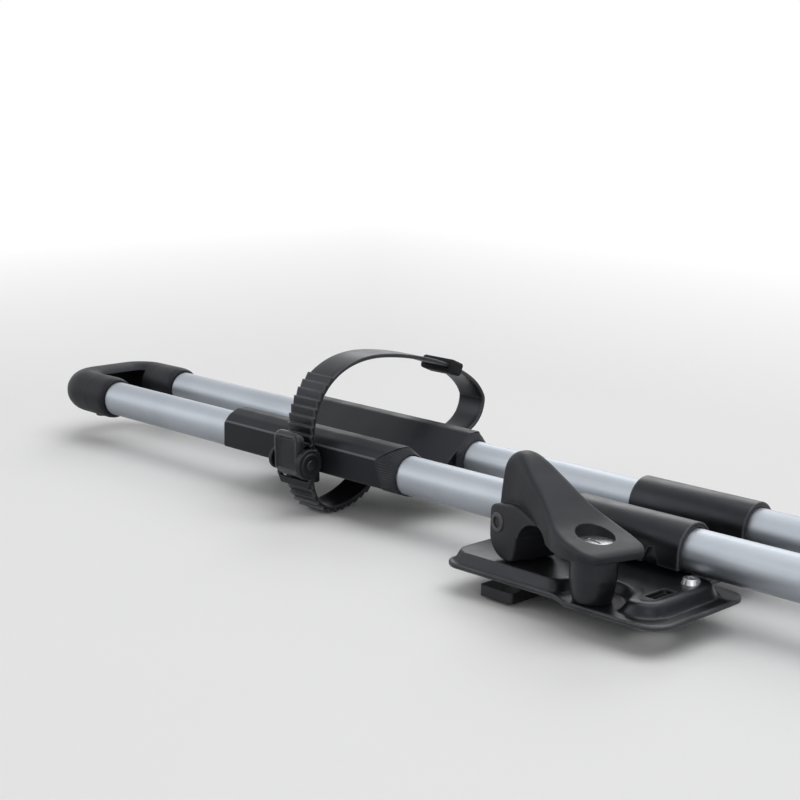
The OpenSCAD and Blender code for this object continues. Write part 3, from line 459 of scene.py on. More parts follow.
def slab(outline, low, high, axis, ease_low=0.6, ease_high=0.6):
    """Outline carried along an axis, its two rims eased by quarter circles of their own radii."""
    fan = np.linspace(0, math.pi / 2, 5)
    back = fan[::-1]
    along = np.concatenate([low + ease_low * (1 - np.sin(back)), high - ease_high * (1 - np.sin(fan))])
    depth = np.concatenate([ease_low * (1 - np.cos(back)), ease_high * (1 - np.cos(fan))])
    grid = np.empty((len(along), len(outline), 3))
    grid[:, :, beside(axis)] = np.stack([inset(outline, d) for d in depth])
    grid[:, :, axis] = along[:, None]
    return grid


def ring_line(radius, sides=48):
    """Points of a circle about the origin."""
    turn = np.linspace(0, 2 * math.pi, sides, endpoint=False)
    return radius * np.stack([np.cos(turn), np.sin(turn)], -1)


def turned(profile, axis, sides=64):
    """Rows of radius and height carried round an axis."""
    grid = np.empty((len(profile), sides, 3))
    grid[:, :, beside(axis)] = profile[:, None, :1] * ring_line(1.0, sides)
    grid[:, :, axis] = profile[:, 1:]
    return grid


def round_bar(radius, low, high, axis, sides=48, ease=0.0):
    """A bar along an axis from low to high, its rims eased by a small radius."""
    return slab(ring_line(radius, sides), low, high, axis, ease, ease)


def round_box(low, high, radius):
    """Outline of a rectangle with round corners, from its low to its high corner."""
    (x0, y0), (x1, y1) = low, high
    return eased([(x0, y0), (x1, y0), (x1, y1), (x0, y1)], radius)


def rails_height():
    """Height of the rails' axes."""
    low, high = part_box("rail_right")
    return (low.z + high.z) / 2 / MM


# Cam levers: a hood of rounded sections between an under-line and a ridge, with flat hinge cheeks

LEVER_YAW = math.radians(15.5)
LEVER_REACH = 55.0
LEVER_SHARP = 32.0
NOSE_FLAT = 64.0
NOSE_CORNER = 8.0
CROWN_MOST = 0.45
BASE_R = 1.2
BASE_MOST = 0.3
FLAT_SHARE = 0.9
CHEEK_HALF = 12.0
CHEEK_EASE = 1.1
BAY_PLAN = ((-20.0, -6.3), (7.5, 6.3), 1.5)
BAY_RISE = (-20.0, 7.0)
LOCK_BORE_R = 8.5
LOCK_FLOOR = 1.25
WELL_TOP = 40.0
ARCH_AT = (28.0, -8.0)
ARCH_R = 13.3
ARCH_HALF = 30.0
CAM_R = 16.2
CAM_LIFT = 10.0

# Sections along the lever: under-line and ridge, each as distance from the hinge and height, and
# the crown's rounding
HOOD_LINES = [
    (-4.8, -3.0, -6.0, 1.0, 2.0), (-4.2, -3.0, -6.4, 7.0, 3.0), (-2.8, -3.0, -6.0, 14.0, 3.8),
    (-0.8, -3.0, -4.7, 23.0, 4.6), (1.4, -3.0, -3.4, 28.4, 5.2), (4.0, -3.0, 0.0, 31.3, 5.8),
    (7.0, -3.0, 5.2, 31.7, 5.6), (10.5, -2.8, 11.7, 29.1, 5.0), (14.5, -1.8, 18.1, 25.4, 4.4),
    (19.5, -0.6, 24.3, 22.0, 4.0), (25.5, -0.5, 30.9, 18.3, 3.6), (32.5, -0.5, 37.9, 14.2, 3.2),
    (41.0, -0.5, 46.0, 10.1, 2.8), (50.0, -0.5, 54.0, 7.5, 2.6), (58.0, -0.5, 61.0, 6.0, 2.4),
    (64.0, -0.5, 66.0, 4.9, 2.2), (68.5, -0.5, 69.6, 4.0, 2.0), (71.0, -0.3, 71.5, 3.1, 1.4),
    (71.9, 0.5, 72.0, 2.3, 0.7),
]
# Half width of the hood at distances from the hinge
HOOD_PLAN = [(-8, 6.7), (3, 6.8), (12, 8.3), (20, 9.9), (30, 11.4), (38, 13.3), (46, 16.2), (52, 17.3),
             (58, 17.5), (NOSE_FLAT, 16.9)]
CHEEK_BACK = [(-6.25, 3.0), (-6.05, 5.0), (-5.2, 6.6)]
CHEEK_TOP = [(-3.4, 7.6), (3.0, 8.9), (9.0, 9.9), (14.0, 9.8), (20.0, 8.6), (25.0, 6.9), (30.0, 4.6)]
CHEEK_FOOT = [(30.5, -4.0), (14.5, -4.0), (12.6, -13.4), (11.2, -15.3), (9.2, -16.0)]


def hood_half_width(x):
    """Half width in plan: a slim horn, a flare and a square nose with round corners."""
    fine = through(HOOD_PLAN, 8)
    past = np.clip(x - NOSE_FLAT, 0.0, NOSE_CORNER)
    corner = NOSE_CORNER - np.sqrt(np.maximum(NOSE_CORNER ** 2 - past ** 2, 0.0))
    return np.interp(x, fine[:, 0], fine[:, 1]) - corner


def hood_skin():
    """Each section rises from the under-line to the ridge, with quarter circles at its two rims."""
    lines = through(HOOD_LINES, 6)
    low, step = lines[:, None, 0:2], (lines[:, 2:4] - lines[:, 0:2])[:, None]
    tall = np.linalg.norm(step, axis=-1)
    crown = np.minimum(lines[:, 4:5], tall * CROWN_MOST)
    base = np.minimum(BASE_R, tall * BASE_MOST)
    fan = np.linspace(0, math.pi / 2, 7)[None]
    flat = np.linspace(0, 1, 5)[None]
    climb = np.linspace(0, 1, 12)[None, 1:-1]
    one = np.ones_like(tall)
    height = np.hstack([0 * flat * one, base * (1 - np.cos(fan)), base + (tall - base - crown) * climb,
                        tall - crown + crown * np.sin(fan), tall + 0 * flat])
    tuck = np.hstack([base + 0 * flat, base * (1 - np.sin(fan)), 0 * climb * one, crown * (1 - np.cos(fan)),
                      crown + 0 * flat])
    share = np.hstack([flat * FLAT_SHARE, 1 + 0 * fan, 1 + 0 * climb, 1 + 0 * fan, FLAT_SHARE * (1 - flat)])
    place = low + step * (height / tall)[..., None]
    side = share * (hood_half_width(place[..., 0]) - tuck)
    right = np.stack([place[..., 0], side, place[..., 1]], -1)
    left = right[:, -2:0:-1] * [1, -1, 1]
    return np.concatenate([right, left], 1)


def cheek_outline():
    """Involute heel for the draw bolt's lift, the back, the ledge and the foot before the arch."""
    turn = np.linspace(0, math.pi / 2, 19)[:, None]
    sink = CAM_R - CAM_LIFT * turn / (math.pi / 2)
    pull = CAM_LIFT / (math.pi / 2)
    heel = sink * np.hstack([-np.sin(turn), -np.cos(turn)]) + pull * np.hstack([np.cos(turn), -np.sin(turn)])
    return np.vstack([heel, CHEEK_BACK, through(CHEEK_TOP, 4), CHEEK_FOOT])


def at_lever(points, end):
    """Turns lever coordinates into the part's own, in millimetres."""
    hinge = np.array(joints[end + "_cam_turn"]["pos_m"]) / MM
    c, s = math.cos(LEVER_YAW), -math.sin(LEVER_YAW)
    x, y, z = points[..., 0], points[..., 1], points[..., 2]
    return np.stack([c * x - s * y, s * x + c * y, z], -1) + hinge


def make_lever(end):
    """Hood and cheeks in one, less a bay for the bolt's eye, a finger arch and the lock's well."""
    lever = solid(at_lever(hood_skin(), end), name=end + "_lever_hood")
    cheeks = slab(cheek_outline(), -CHEEK_HALF, CHEEK_HALF, 1, CHEEK_EASE, CHEEK_EASE)
    combine(lever, [solid(at_lever(cheeks, end))], "UNION")
    bay = slab(round_box(*BAY_PLAN), *BAY_RISE, 2)
    arch = round_bar(ARCH_R, -ARCH_HALF, ARCH_HALF, 1, 96) + [ARCH_AT[0], 0, ARCH_AT[1]]
    well = round_bar(LOCK_BORE_R, LOCK_FLOOR, WELL_TOP, 2, 64) + [LEVER_REACH, 0, 0]
    combine(lever, [solid(at_lever(grid, end)) for grid in (bay, arch, well)], sharp=LEVER_SHARP)
    settle(lever, end + "_cam_lever")


PIN_R = 4.5
PIN_PROUD = 0.5
PIN_EASE = 0.4
DIMPLE_R = 2.6
DIMPLE_DEEP = 1.0
DIMPLE_EASE = 0.3


def make_lever_pin(end):
    """A pin through both cheeks with a shallow dimple in each end."""
    reach = CHEEK_HALF + PIN_PROUD
    bar = round_bar(PIN_R, -reach, reach, 1, 48, PIN_EASE)
    pin = solid(at_lever(bar, end), name=end + "_hinge_pin")
    dimple = round_bar(DIMPLE_R, -DIMPLE_DEEP, DIMPLE_DEEP, 1, 32, DIMPLE_EASE)
    combine(pin, [solid(at_lever(dimple + [0, way * reach, 0], end)) for way in SIDES])
    settle(pin, end + "_lever_pin")


# Straps: a band with rounded edges carried along its route, with ratchet teeth on the outside

STRAP_W = 18.4
STRAP_T = 2.2
STRAP_DX = 13.5
STRAP_EDGE = 0.7
STRAP_SHARP = 18.0
STRAP_FLAT = [-5, -2.5, 0, 2.5, 5]
TOOTH_H = 1.4
TOOTH_PITCH = 4.6
TOOTH_SHIFT = 0.1
TOOTHED_RUN = 34.0
CRADLE_R = 13.05
CRADLE_FACE = 38.35
ANCHOR_Y = 44.85
ANCHOR_Z = -4.0
ANCHOR_R = 5.0
STRAP_Y = -44.75
CHANNEL = (-8.0, 12.5)
CHANNEL_LEN = CHANNEL[1] - CHANNEL[0]
STRAP_CREST = 51.0
BULGE = (88.35, 17.0)
TAIL_END = (5.0, -11.0)
TAIL_LOW = (STRAP_Y + 16.0, -CRADLE_R - 14.0)
EYE_END = (ANCHOR_Y + ANCHOR_R - 0.5, ANCHOR_Z)
START_STEP = 0.4
PLAIN_STEP = 1.2
NORMAL_STEP = 0.8

# A tooth's height along its pitch, as shares of both, and where its rings lie
TOOTH_AT = [0.0, 0.04, 0.82, 0.88, 0.95, 1.0]
TOOTH_RISE = [0.0, 0.05, 0.96, 1.0, 0.0, 0.0]
TOOTH_RINGS = [0.0, 0.04, 0.3, 0.56, 0.82, 0.85, 0.88, 0.915, 0.95, 0.975]


def cubic_leg(a, b, c, d, steps=48):
    """Points of a cubic curve without its last one."""
    t = np.linspace(0, 1, steps, endpoint=False)[:, None]
    a, b, c, d = (np.asarray(p, float) for p in (a, b, c, d))
    return a * (1 - t) ** 3 + 3 * b * t * (1 - t) ** 2 + 3 * c * t ** 2 * (1 - t) + d * t ** 3


def strap_route():
    """Route in Y and Z about the rail axes, and the run where the straight channel starts."""
    (tx, tz), (lx, lz), (bx, bz), (ex, ez) = TAIL_END, TAIL_LOW, BULGE, EYE_END
    low, high = CHANNEL
    tail = np.vstack([
        cubic_leg(TAIL_END, (tx - 5, tz - 9), (lx + 13, lz), TAIL_LOW),
        cubic_leg(TAIL_LOW, (lx - 10, lz), (STRAP_Y, low - 9), (STRAP_Y, low)),
    ])
    rest = np.vstack([
        [[STRAP_Y, low]],
        cubic_leg((STRAP_Y, high), (STRAP_Y, high + 22), (-30, STRAP_CREST), (0, STRAP_CREST)),
        cubic_leg((0, STRAP_CREST), (22, STRAP_CREST), (bx - 8, bz + 22), BULGE),
        cubic_leg(BULGE, (bx, bz - 18), (ex + 18, ez), EYE_END),
        [EYE_END],
    ])
    route = np.vstack([tail, rest])
    run = run_along(route)
    return route, run, run[len(tail)]


ROUTE, RUN, TAIL_RUN = strap_route()
STRAP_LEN = RUN[-1]
CHANNEL_RUN = TAIL_RUN + CHANNEL_LEN


def on_route(s):
    """Point and outward normal of the route at a run s."""
    ahead = at_run(np.minimum(s + NORMAL_STEP, STRAP_LEN), RUN, ROUTE)
    step = unit(ahead - at_run(np.maximum(s - NORMAL_STEP, 0), RUN, ROUTE))
    return at_run(s, RUN, ROUTE), np.stack([-step[..., 1], step[..., 0]], -1)


def tooth_height(s):
    """Saw tooth: climbs for most of the pitch and drops at a steep ledge that faces up."""
    first = -math.floor(TAIL_RUN / TOOTH_PITCH) + 1
    last = math.floor((CHANNEL_LEN + TOOTHED_RUN) / TOOTH_PITCH)
    count = (s - TAIL_RUN) / TOOTH_PITCH + TOOTH_SHIFT
    height = np.interp(count - np.floor(count), TOOTH_AT, TOOTH_RISE)
    return TOOTH_H * height * ((count >= first) & (count < last + 1))


def strap_skin():
    """Section with quarter-circle edges, offset along the route's normal."""
    toothed_to = CHANNEL_RUN + TOOTHED_RUN + TOOTH_PITCH
    phase = (TAIL_RUN - TOOTH_SHIFT * TOOTH_PITCH) % TOOTH_PITCH
    teeth = np.arange(0, toothed_to // TOOTH_PITCH)[:, None] * TOOTH_PITCH + phase
    marks = teeth + np.array(TOOTH_RINGS) * TOOTH_PITCH
    plain = np.arange(toothed_to, STRAP_LEN, PLAIN_STEP)
    runs = np.unique(np.concatenate([[0, START_STEP], marks.ravel(), plain, [STRAP_LEN]]))
    runs = runs[runs <= STRAP_LEN]
    place, normal = on_route(runs)
    fan = np.linspace(0, math.pi / 2, 5)
    edge_x = STRAP_W / 2 - STRAP_EDGE + STRAP_EDGE * np.sin(fan)
    across = np.concatenate([-edge_x[::-1], STRAP_FLAT, edge_x])
    ease = np.concatenate([(1 - np.cos(fan))[::-1], np.zeros(len(STRAP_FLAT)), 1 - np.cos(fan)]) * STRAP_EDGE
    upper = (STRAP_T / 2 + tooth_height(runs))[:, None] - ease[None]
    under = -STRAP_T / 2 + ease[None, ::-1] + 0 * runs[:, None]
    offset = np.concatenate([upper, under], 1)
    x = np.concatenate([across, across[::-1]])
    grid = np.empty((len(runs), len(x), 3))
    grid[..., 0] = x[None] + STRAP_DX
    grid[..., 1:] = place[:, None] + normal[:, None] * offset[..., None]
    return grid


def at_holder(points, end):
    """Moves cradle coordinates, about the rail axes, to the part's own."""
    low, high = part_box(end + "_cradle")
    return points + np.array([(low.x + high.x) / 2 / MM, 0.0, rails_height()])


def held(grid, end, name="tool"):
    """A piece or tool in cradle coordinates."""
    return solid(at_holder(grid, end), name=name)


def make_strap(end):
    """Band joined to its anchor eye."""
    strap = held(strap_skin(), end, end + "_strap_band")
    eye = round_bar(ANCHOR_R, STRAP_DX - STRAP_W / 2, STRAP_DX + STRAP_W / 2, 0, ease=STRAP_EDGE)
    combine(strap, [held(eye + [0, ANCHOR_Y, ANCHOR_Z], end)], "UNION", STRAP_SHARP)
    settle(strap, end + "_strap")


# Strap keepers: a square-cornered ring across the strap, with eased rims inside and out

KEEPER_RUN = 130.0
KEEPER_WALL = 2.4
KEEPER_LONG = 9.0
KEEPER_CORNER = 1.9
KEEPER_EASE = 0.8
STRAP_PLAY = 0.3
HOLE_EASE = 0.1


def make_keeper(end):
    """Outer outline carried along the strap with the strap's opening cut through it."""
    at, normal = on_route(np.array([CHANNEL_RUN + KEEPER_RUN]))
    half = np.array([STRAP_W / 2, STRAP_T / 2]) + STRAP_PLAY
    outer = half + KEEPER_WALL
    across = np.array([0.0, normal[0, 1], -normal[0, 0]])
    up = np.array([0.0, normal[0, 0], normal[0, 1]])
    origin = np.array([STRAP_DX, at[0, 0], at[0, 1]])

    def placed(grid):
        return origin + grid[..., :1] * [1, 0, 0] + grid[..., 1:2] * up + grid[..., 2:] * across
    ring = round_box(-outer, outer, KEEPER_CORNER)
    body = slab(ring, -KEEPER_LONG / 2, KEEPER_LONG / 2, 2, KEEPER_EASE, KEEPER_EASE)
    hole = slab(round_box(-half, half, STRAP_PLAY), -KEEPER_LONG, KEEPER_LONG, 2, HOLE_EASE, HOLE_EASE)
    keeper = held(placed(body), end, end + "_keeper_ring")
    combine(keeper, [held(placed(hole), end)])
    settle(keeper, end + "_strap_keeper")


# Cradles: a grooved block on both rails, blunt at the back and with ribbed funnels to the rails in front

HALF_PITCH = 25.3
RAIL_R = 10.0
SLIDE_GAP = 0.25
CRADLE_CREST = 14.4
CRADLE_CREASE = 7.9
CREST_IN = 2.0
CREST_OUT = 5.0
BULGE_OUT = 10.4
BULGE_UP = 11.9
CRADLE_SKIRT = -6.3
SKIRT_IN = 5.5
CRADLE_BACK = -57.0
CRADLE_FRONT = 61.0
CRADLE_RADII = [3.0, 4.0, 5.0, 5.0, 0.7, 1.0, 4.0, 2.0, 1.5]
END_STEP = 0.2
END_LONG = 0.6
END_EASE = [0.5, 0.15]
BACK_ROLL = 2.6
ROLL_FROM = 0.15
ROLL_LOW = 2.0
FRONT_LEAN = 6.0
CREST_LEAN = 9.5
LEAN_IN = 4.0
LEAN_OUT = 8.0
GROOVE_HALF = 4.0
WEB_T = 5.0
LUG_T = 5.0
LUG_ROOT = 1.3
SCREW_BOSS_R = 4.6
BORE_HALF = 100.0


def cradle_outline():
    """W-shaped section of the cradle in Y and Z, each corner eased by its own radius."""
    inner = HALF_PITCH - CRADLE_R
    half = [(GROOVE_HALF, 0.0), (HALF_PITCH - CREST_IN, CRADLE_CREST), (HALF_PITCH + CREST_OUT, CRADLE_CREST),
            (HALF_PITCH + BULGE_OUT, BULGE_UP), (CRADLE_FACE, CRADLE_CREASE), (CRADLE_FACE, CRADLE_SKIRT),
            (HALF_PITCH - SKIRT_IN, -CRADLE_R), (inner, -CRADLE_R), (inner - WEB_T / 2, -WEB_T)]
    mirrored = [(-y, z) for y, z in half[::-1]]
    return eased(half + mirrored, CRADLE_RADII + CRADLE_RADII[::-1])


def front_lean(y, z):
    """How far the front stands out: least at the crease, more at the skirt, most at the crest."""
    below = FRONT_LEAN * np.clip((CRADLE_CREASE - z) / (CRADLE_CREASE - CRADLE_SKIRT), 0.0, 1.0)
    above = CREST_LEAN * np.clip((z - CRADLE_CREASE) / (CRADLE_CREST - CRADLE_CREASE), 0.0, 1.0)
    outer = smooth_step(np.abs(y), HALF_PITCH - LEAN_IN, HALF_PITCH + LEAN_OUT)
    return CREST_LEAN + (below + above - CREST_LEAN) * outer


def cradle_skin():
    """Section along X: the crest rolls down at the back, the front end leans out."""
    outline = cradle_outline()
    fan = np.linspace(ROLL_FROM, math.pi / 2, 8)
    front = CRADLE_FRONT - END_LONG
    x = np.concatenate([[CRADLE_BACK, CRADLE_BACK + END_STEP],
                        CRADLE_BACK + END_LONG + BACK_ROLL * (1 - np.cos(fan)),
                        [0.0, front, CRADLE_FRONT - END_STEP, CRADLE_FRONT]])
    roll = BACK_ROLL * (1 - np.sin(fan))
    drop = np.concatenate([np.full(2, roll[0]), roll, np.zeros(4)])
    depth = np.concatenate([END_EASE, np.zeros(10), END_EASE[::-1]])
    rings = np.stack([inset(outline, d) for d in depth])
    y, z = rings[..., 0], rings[..., 1]
    grid = np.empty(rings.shape[:2] + (3,))
    grid[..., 0] = x[:, None] + front_lean(y, z) * smooth_step(x, 0.0, front)[:, None]
    grid[..., 1] = y
    grid[..., 2] = z - drop[:, None] * np.clip((z - ROLL_LOW) / (CRADLE_CREST - ROLL_LOW), 0, 1)
    return grid


FUNNEL_TIP = 73.0
FUNNEL_LIP = 1.2
FUNNEL_STEP = 0.3
FUNNEL_SUNK = 0.4
FUNNEL_ROOT = 2.0
FUNNEL_TUCK = 0.6
FUNNEL_ROUND = 0.3
FUNNEL_CURVE = 1.25
FUNNEL_LEAST = 0.05
FUNNEL_SHARP = 26.0
FUNNEL_RIBS = 64
FUNNEL_RIB = 0.16
RIB_START = (0.0, 0.12)
RIB_END = (0.85, 0.98)
RIB_SHARP = 40.0
UNDER_LEAN = (0.336, -0.942)
UNDER_GAP = 10.95


def funnel(side):
    """Loft from a soft least of the sleeve's flat sides to a circle round the rail, with ribs along it."""
    turn = np.linspace(0, 2 * math.pi, FUNNEL_RIBS * 6, endpoint=False)
    c, s = np.cos(turn), np.sin(turn)
    crest = np.array([-CREST_IN, CRADLE_CREST])
    slope = unit([-CRADLE_CREST, HALF_PITCH - GROOVE_HALF - CREST_IN])
    shoulder = unit([CRADLE_CREST - BULGE_UP, BULGE_OUT - CREST_OUT])
    flank = unit([BULGE_UP - CRADLE_CREASE, CRADLE_FACE - HALF_PITCH - BULGE_OUT])
    sides = [((1.0, 0.0), CRADLE_R), ((0.0, 1.0), CRADLE_CREST), ((0.0, -1.0), CRADLE_R),
             ((-1.0, 0.0), CRADLE_R), (slope, slope @ crest),
             (shoulder, shoulder @ [CREST_OUT, CRADLE_CREST]), (flank, flank @ [BULGE_OUT, BULGE_UP]),
             (UNDER_LEAN, UNDER_GAP)]
    reach = np.stack([gap / np.maximum(n[0] * side * c + n[1] * s, 1e-3) for n, gap in sides])
    sleeve = np.sum(reach ** -FUNNEL_SHARP, 0) ** (-1 / FUNNEL_SHARP) - FUNNEL_STEP
    t = np.concatenate([[0.0], np.linspace(0.0, 1.0, 16), [1.0, 1.0, 0.0]])
    lip = np.minimum(RAIL_R + FUNNEL_LIP, sleeve[None] - FUNNEL_LEAST)
    radius = sleeve[None] + (lip - sleeve[None]) * (t ** FUNNEL_CURVE)[:, None]
    ribbed = smooth_step(t, *RIB_START) * (1 - smooth_step(t, *RIB_END))
    radius += FUNNEL_RIB * np.sin(turn * FUNNEL_RIBS)[None] * ribbed[:, None]
    radius[0] -= FUNNEL_TUCK
    radius[-3] -= FUNNEL_ROUND
    radius[-2:] = RAIL_R + SLIDE_GAP
    start = CRADLE_FRONT - FUNNEL_SUNK + front_lean(side * HALF_PITCH + sleeve * c, sleeve * s)[None]
    x = start + (FUNNEL_TIP - start) * t[:, None]
    x[[0, -1]] -= FUNNEL_ROOT
    x[-3:-1] += FUNNEL_ROUND
    grid = np.stack([x, side * HALF_PITCH + radius * c[None], radius * s[None]], -1)
    return np.concatenate([grid, grid[:1]])


def lug_outline():
    """A half circle about the strap's pin, with straight sides back into the cradle."""
    turn = np.linspace(math.pi / 2, 3 * math.pi / 2, 33)
    arc = np.stack([ANCHOR_Y - ANCHOR_R * np.cos(turn), ANCHOR_Z + ANCHOR_R * np.sin(turn)], -1)
    root = CRADLE_FACE - LUG_ROOT
    return np.vstack([arc, [(root, ANCHOR_Z - ANCHOR_R), (root, ANCHOR_Z + ANCHOR_R)]])


def make_cradle(end):
    """Grooved block with bores for the rails, two ears for the strap's pin, and its funnels."""
    cradle = solid(at_holder(cradle_skin(), end), name=end + "_cradle_body", plan=[1, 2])
    extra, bores, collars = [], [], []
    for side in SIDES:
        axis = np.array([0, side * HALF_PITCH, 0])
        middle = STRAP_DX + side * (STRAP_W / 2 + STRAP_PLAY + LUG_T / 2)
        extra.append(held(slab(lug_outline(), middle - LUG_T / 2, middle + LUG_T / 2, 0), end))
        extra.append(held(round_bar(SCREW_BOSS_R, -CRADLE_R, 0.0, 2, 40, 0.6) + axis, end))
        bores.append(held(round_bar(RAIL_R + SLIDE_GAP, -BORE_HALF, BORE_HALF, 0, 64) + axis, end))
        collars.append(at_holder(funnel(side), end))
    combine(cradle, extra, "UNION")
    combine(cradle, bores)
    settle(cradle, end + "_cradle", "cradle_plastic")
    ribbed = solid(*collars, name=end + "_cradle_funnels", sharp=RIB_SHARP, caps=False)
    dress(ribbed, slot_of[end + "_cradle"], "cradle_plastic")
    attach(ribbed, end + "_holder")


# Buckles: a base with two domed ears, and a flip lever with a raised rim round a shallow panel

BUCKLE_BASE = 5.0
BUCKLE_FRONT = -CRADLE_FACE - BUCKLE_BASE
EAR_INNER = 10.4
BASE_HALF = EAR_INNER + 0.6
BASE_BOX = ((-BASE_HALF, -6.5), (BASE_HALF, 6.0), 2.0)
BASE_FLARE = 0.42
BOSS_ROOT = 0.5
BUCKLE_PIN_R = 2.7
BUCKLE_PIN_PROUD = 0.3
PIN_OUT = 3.6
PIN_Y = STRAP_Y - STRAP_T / 2 - TOOTH_H - PIN_OUT
PIN_Z = 0.5
WEB_BOX = ((PIN_Y, PIN_Z - 4.5), (BUCKLE_FRONT + 1.0, PIN_Z + 5.0), 0.8)
WEB_THICK = 1.5

# Each ear's radius and thickness, and its boss's radius and height
EAR_SHAPES = {-1: (6.0, 1.8, 4.4, 0.4), 1: (8.0, 3.2, 6.0, 0.7)}

BIB_IN = 10.7
BIB_TOP = -3.8
BIB_FLOOR = -9.4
BIB_LOW = -13.0
BIB_BACK = 3.2
BIB_FRONT = 1.0
BIB_CORNER = 0.7
BIB_LINE = [(BIB_IN, BIB_TOP), (BIB_IN, BIB_FLOOR), (-BIB_IN, BIB_FLOOR), (-BIB_IN, BIB_TOP),
            (-13.2, BIB_TOP), (-13.1, -8.4), (-10.2, BIB_LOW), (10.2, BIB_LOW), (13.1, -8.4), (13.2, BIB_TOP)]


def make_buckle(end):
    """A flared base, two round ears on short webs and a bib below, with the pin."""
    base = slab(round_box(*BASE_BOX), BUCKLE_FRONT, -CRADLE_FACE, 1, 0.6, 0.1)
    base[..., 0] *= 1.0 - BASE_FLARE * (base[..., 1] - BUCKLE_FRONT) / BUCKLE_BASE
    base[..., 0] += STRAP_DX
    buckle = held(base, end, end + "_buckle_base")
    extra, pin_ends = [], []
    for way, (radius, thick, boss_radius, boss_high) in EAR_SHAPES.items():
        face_x = EAR_INNER + thick
        pin_at = np.array([PIN_Y, PIN_Z])
        ear = slab(ring_line(radius) + pin_at, EAR_INNER, face_x, 0, 0.4, 0.5)
        boss = slab(ring_line(boss_radius) + pin_at, face_x - BOSS_ROOT, face_x + boss_high, 0, 0, boss_high)
        web = slab(round_box(*WEB_BOX), EAR_INNER, EAR_INNER + WEB_THICK, 0, 0.2, 0.4)
        pin_ends.append(STRAP_DX + way * (face_x + boss_high + BUCKLE_PIN_PROUD))
        for grid in (ear, boss, web):
            grid[..., 0] = STRAP_DX + way * grid[..., 0]
            extra.append(held(grid, end))
    bib_line = eased(BIB_LINE, BIB_CORNER) + [STRAP_DX, 0]
    extra.append(held(slab(bib_line, PIN_Y + BIB_FRONT, PIN_Y + BIB_BACK, 1, 0.4, 0.2), end))
    combine(buckle, extra, "UNION")
    settle(buckle, end + "_buckle")
    pin = round_bar(BUCKLE_PIN_R, *pin_ends, 0, 40, 0.5) + [0, PIN_Y, PIN_Z]
    settle(held(pin, end, end + "_ear_pin"), end + "_buckle_pin", "black_zinc")


CHIN_Z = -7.8
CHIN_DRAW = 2.4
CHIN_FROM = 1.0
CHIN_OUT = (1.0, 4.0)
FLAP_TOP = 16.0
FLAP_CORNER = 4.6
HUB_R = 3.3
SPRING_BOX = ((-3.6, -2.4), (3.6, 6.0), 0.5)
SPRING_LONG = (-12.0, 5.0)
PAWL_Z = CHANNEL[0] + 4 * TOOTH_PITCH - 0.06 * TOOTH_PITCH - PIN_Z
PAWL_REACH = 3.6 + 0.6 * TOOTH_H
PAWL_IN = 1.0
PAWL_EASE = 0.25
PAWL_LINE = [(-2, PAWL_Z - 1.6), (PAWL_REACH, PAWL_Z - 0.3), (PAWL_REACH, PAWL_Z + 0.3), (-2, PAWL_Z + 2.4)]

# Rings of the flap: how far each lies in from the outline, how far it stands out, and the panel's last shares
FLAP_IN = [0.8, 0.2, 0.0, 0.0, 0.25, 0.8, 1.5, 2.2, 2.8, 3.2, 3.5, 4.0]
FLAP_OUT = [-1.0, -1.2, -1.8, -2.8, -3.8, -4.7, -5.3, -5.5, -5.2, -4.6, -4.15, -3.9, -3.85, -3.85, -3.85]
PANEL_SHARES = [0.7, 0.4, 0.1]


def make_release(end):
    """Rings of a rounded square: back rim, side, rolled rim, dip and panel, its chin drawn in."""
    wide = EAR_INNER - STRAP_PLAY
    outline = round_box((-wide, CHIN_Z), (wide, FLAP_TOP), FLAP_CORNER)
    out = np.array(FLAP_OUT)
    rings = np.stack([inset(outline, d) for d in FLAP_IN])
    middle = np.array([0.0, (FLAP_TOP + CHIN_Z) / 2])
    share = np.array(PANEL_SHARES)[:, None, None]
    rings = np.concatenate([rings, middle + (rings[-1:] - middle) * share])
    x, z = rings[..., 0], rings[..., 1]
    chin = smooth_step(-z, CHIN_FROM, -CHIN_Z) * smooth_step(-out, *CHIN_OUT)[:, None]
    grid = np.stack([x, out[:, None] + CHIN_DRAW * chin, z], -1)
    at_pin = np.array([STRAP_DX, PIN_Y, PIN_Z])
    release = held(grid + at_pin, end, end + "_release_flap")
    hub = round_bar(HUB_R, -wide, wide, 0, 40, 0.3)
    pawl = slab(eased(PAWL_LINE, PAWL_EASE), PAWL_IN - STRAP_W / 2, STRAP_W / 2 - PAWL_IN, 0, 0.2, 0.2)
    combine(release, [held(hub + at_pin, end), held(pawl + at_pin, end)], "UNION")
    bay = slab(round_box(*SPRING_BOX), *SPRING_LONG, 2, 0.3, 0.3)
    combine(release, [held(bay + at_pin, end)])
    settle(release, end + "_release_lever")


# Foot plates: heights over the plan, by the signed distance to the raised part's outline

PLATE_BACK = -63.25
PLATE_FRONT = 56.75
PLATE_STEP = -81.75
PLATE_NEAR = -86.25
PLATE_MID = -19.0
PLATE_FAR = 39.3
STEP_X = (-1, 9)
TONGUE_HALF = 35.0
PLATE_LIP = 7.5
BACK_LIP = 2.5
SHEET = 2.5
PAD_H = 5.0
PLATE_TOP = PAD_H + SHEET
RAISED_BOX = ((PLATE_BACK - BACK_LIP + 2.0, PLATE_STEP + 2.0),
              (PLATE_FRONT - PLATE_LIP, PLATE_MID - PLATE_LIP), 11.0)
TONGUE_BOX = ((3.0 - TONGUE_HALF, PLATE_STEP + 20.0), (TONGUE_HALF - 3.0, PLATE_FAR - 3.0), 6.0)
TONGUE_BLEND = 6.0
POST_X = 16.15
POST_Y = -76.5
POST_WELL = 15.25
WELL_BLEND = 7.0
BEAD = 1.5
BEAD_IN = 2.2
RIDGE_H = 0.55
RIDGE_IN = 4.2
RIDGE_W = 1.9
RIDGE_X = (26, 34)
HOLLOW_WALL = (2.1, 3.0)
RIM_R = 0.9
PLATE_HEART = (0.0, -45.0)
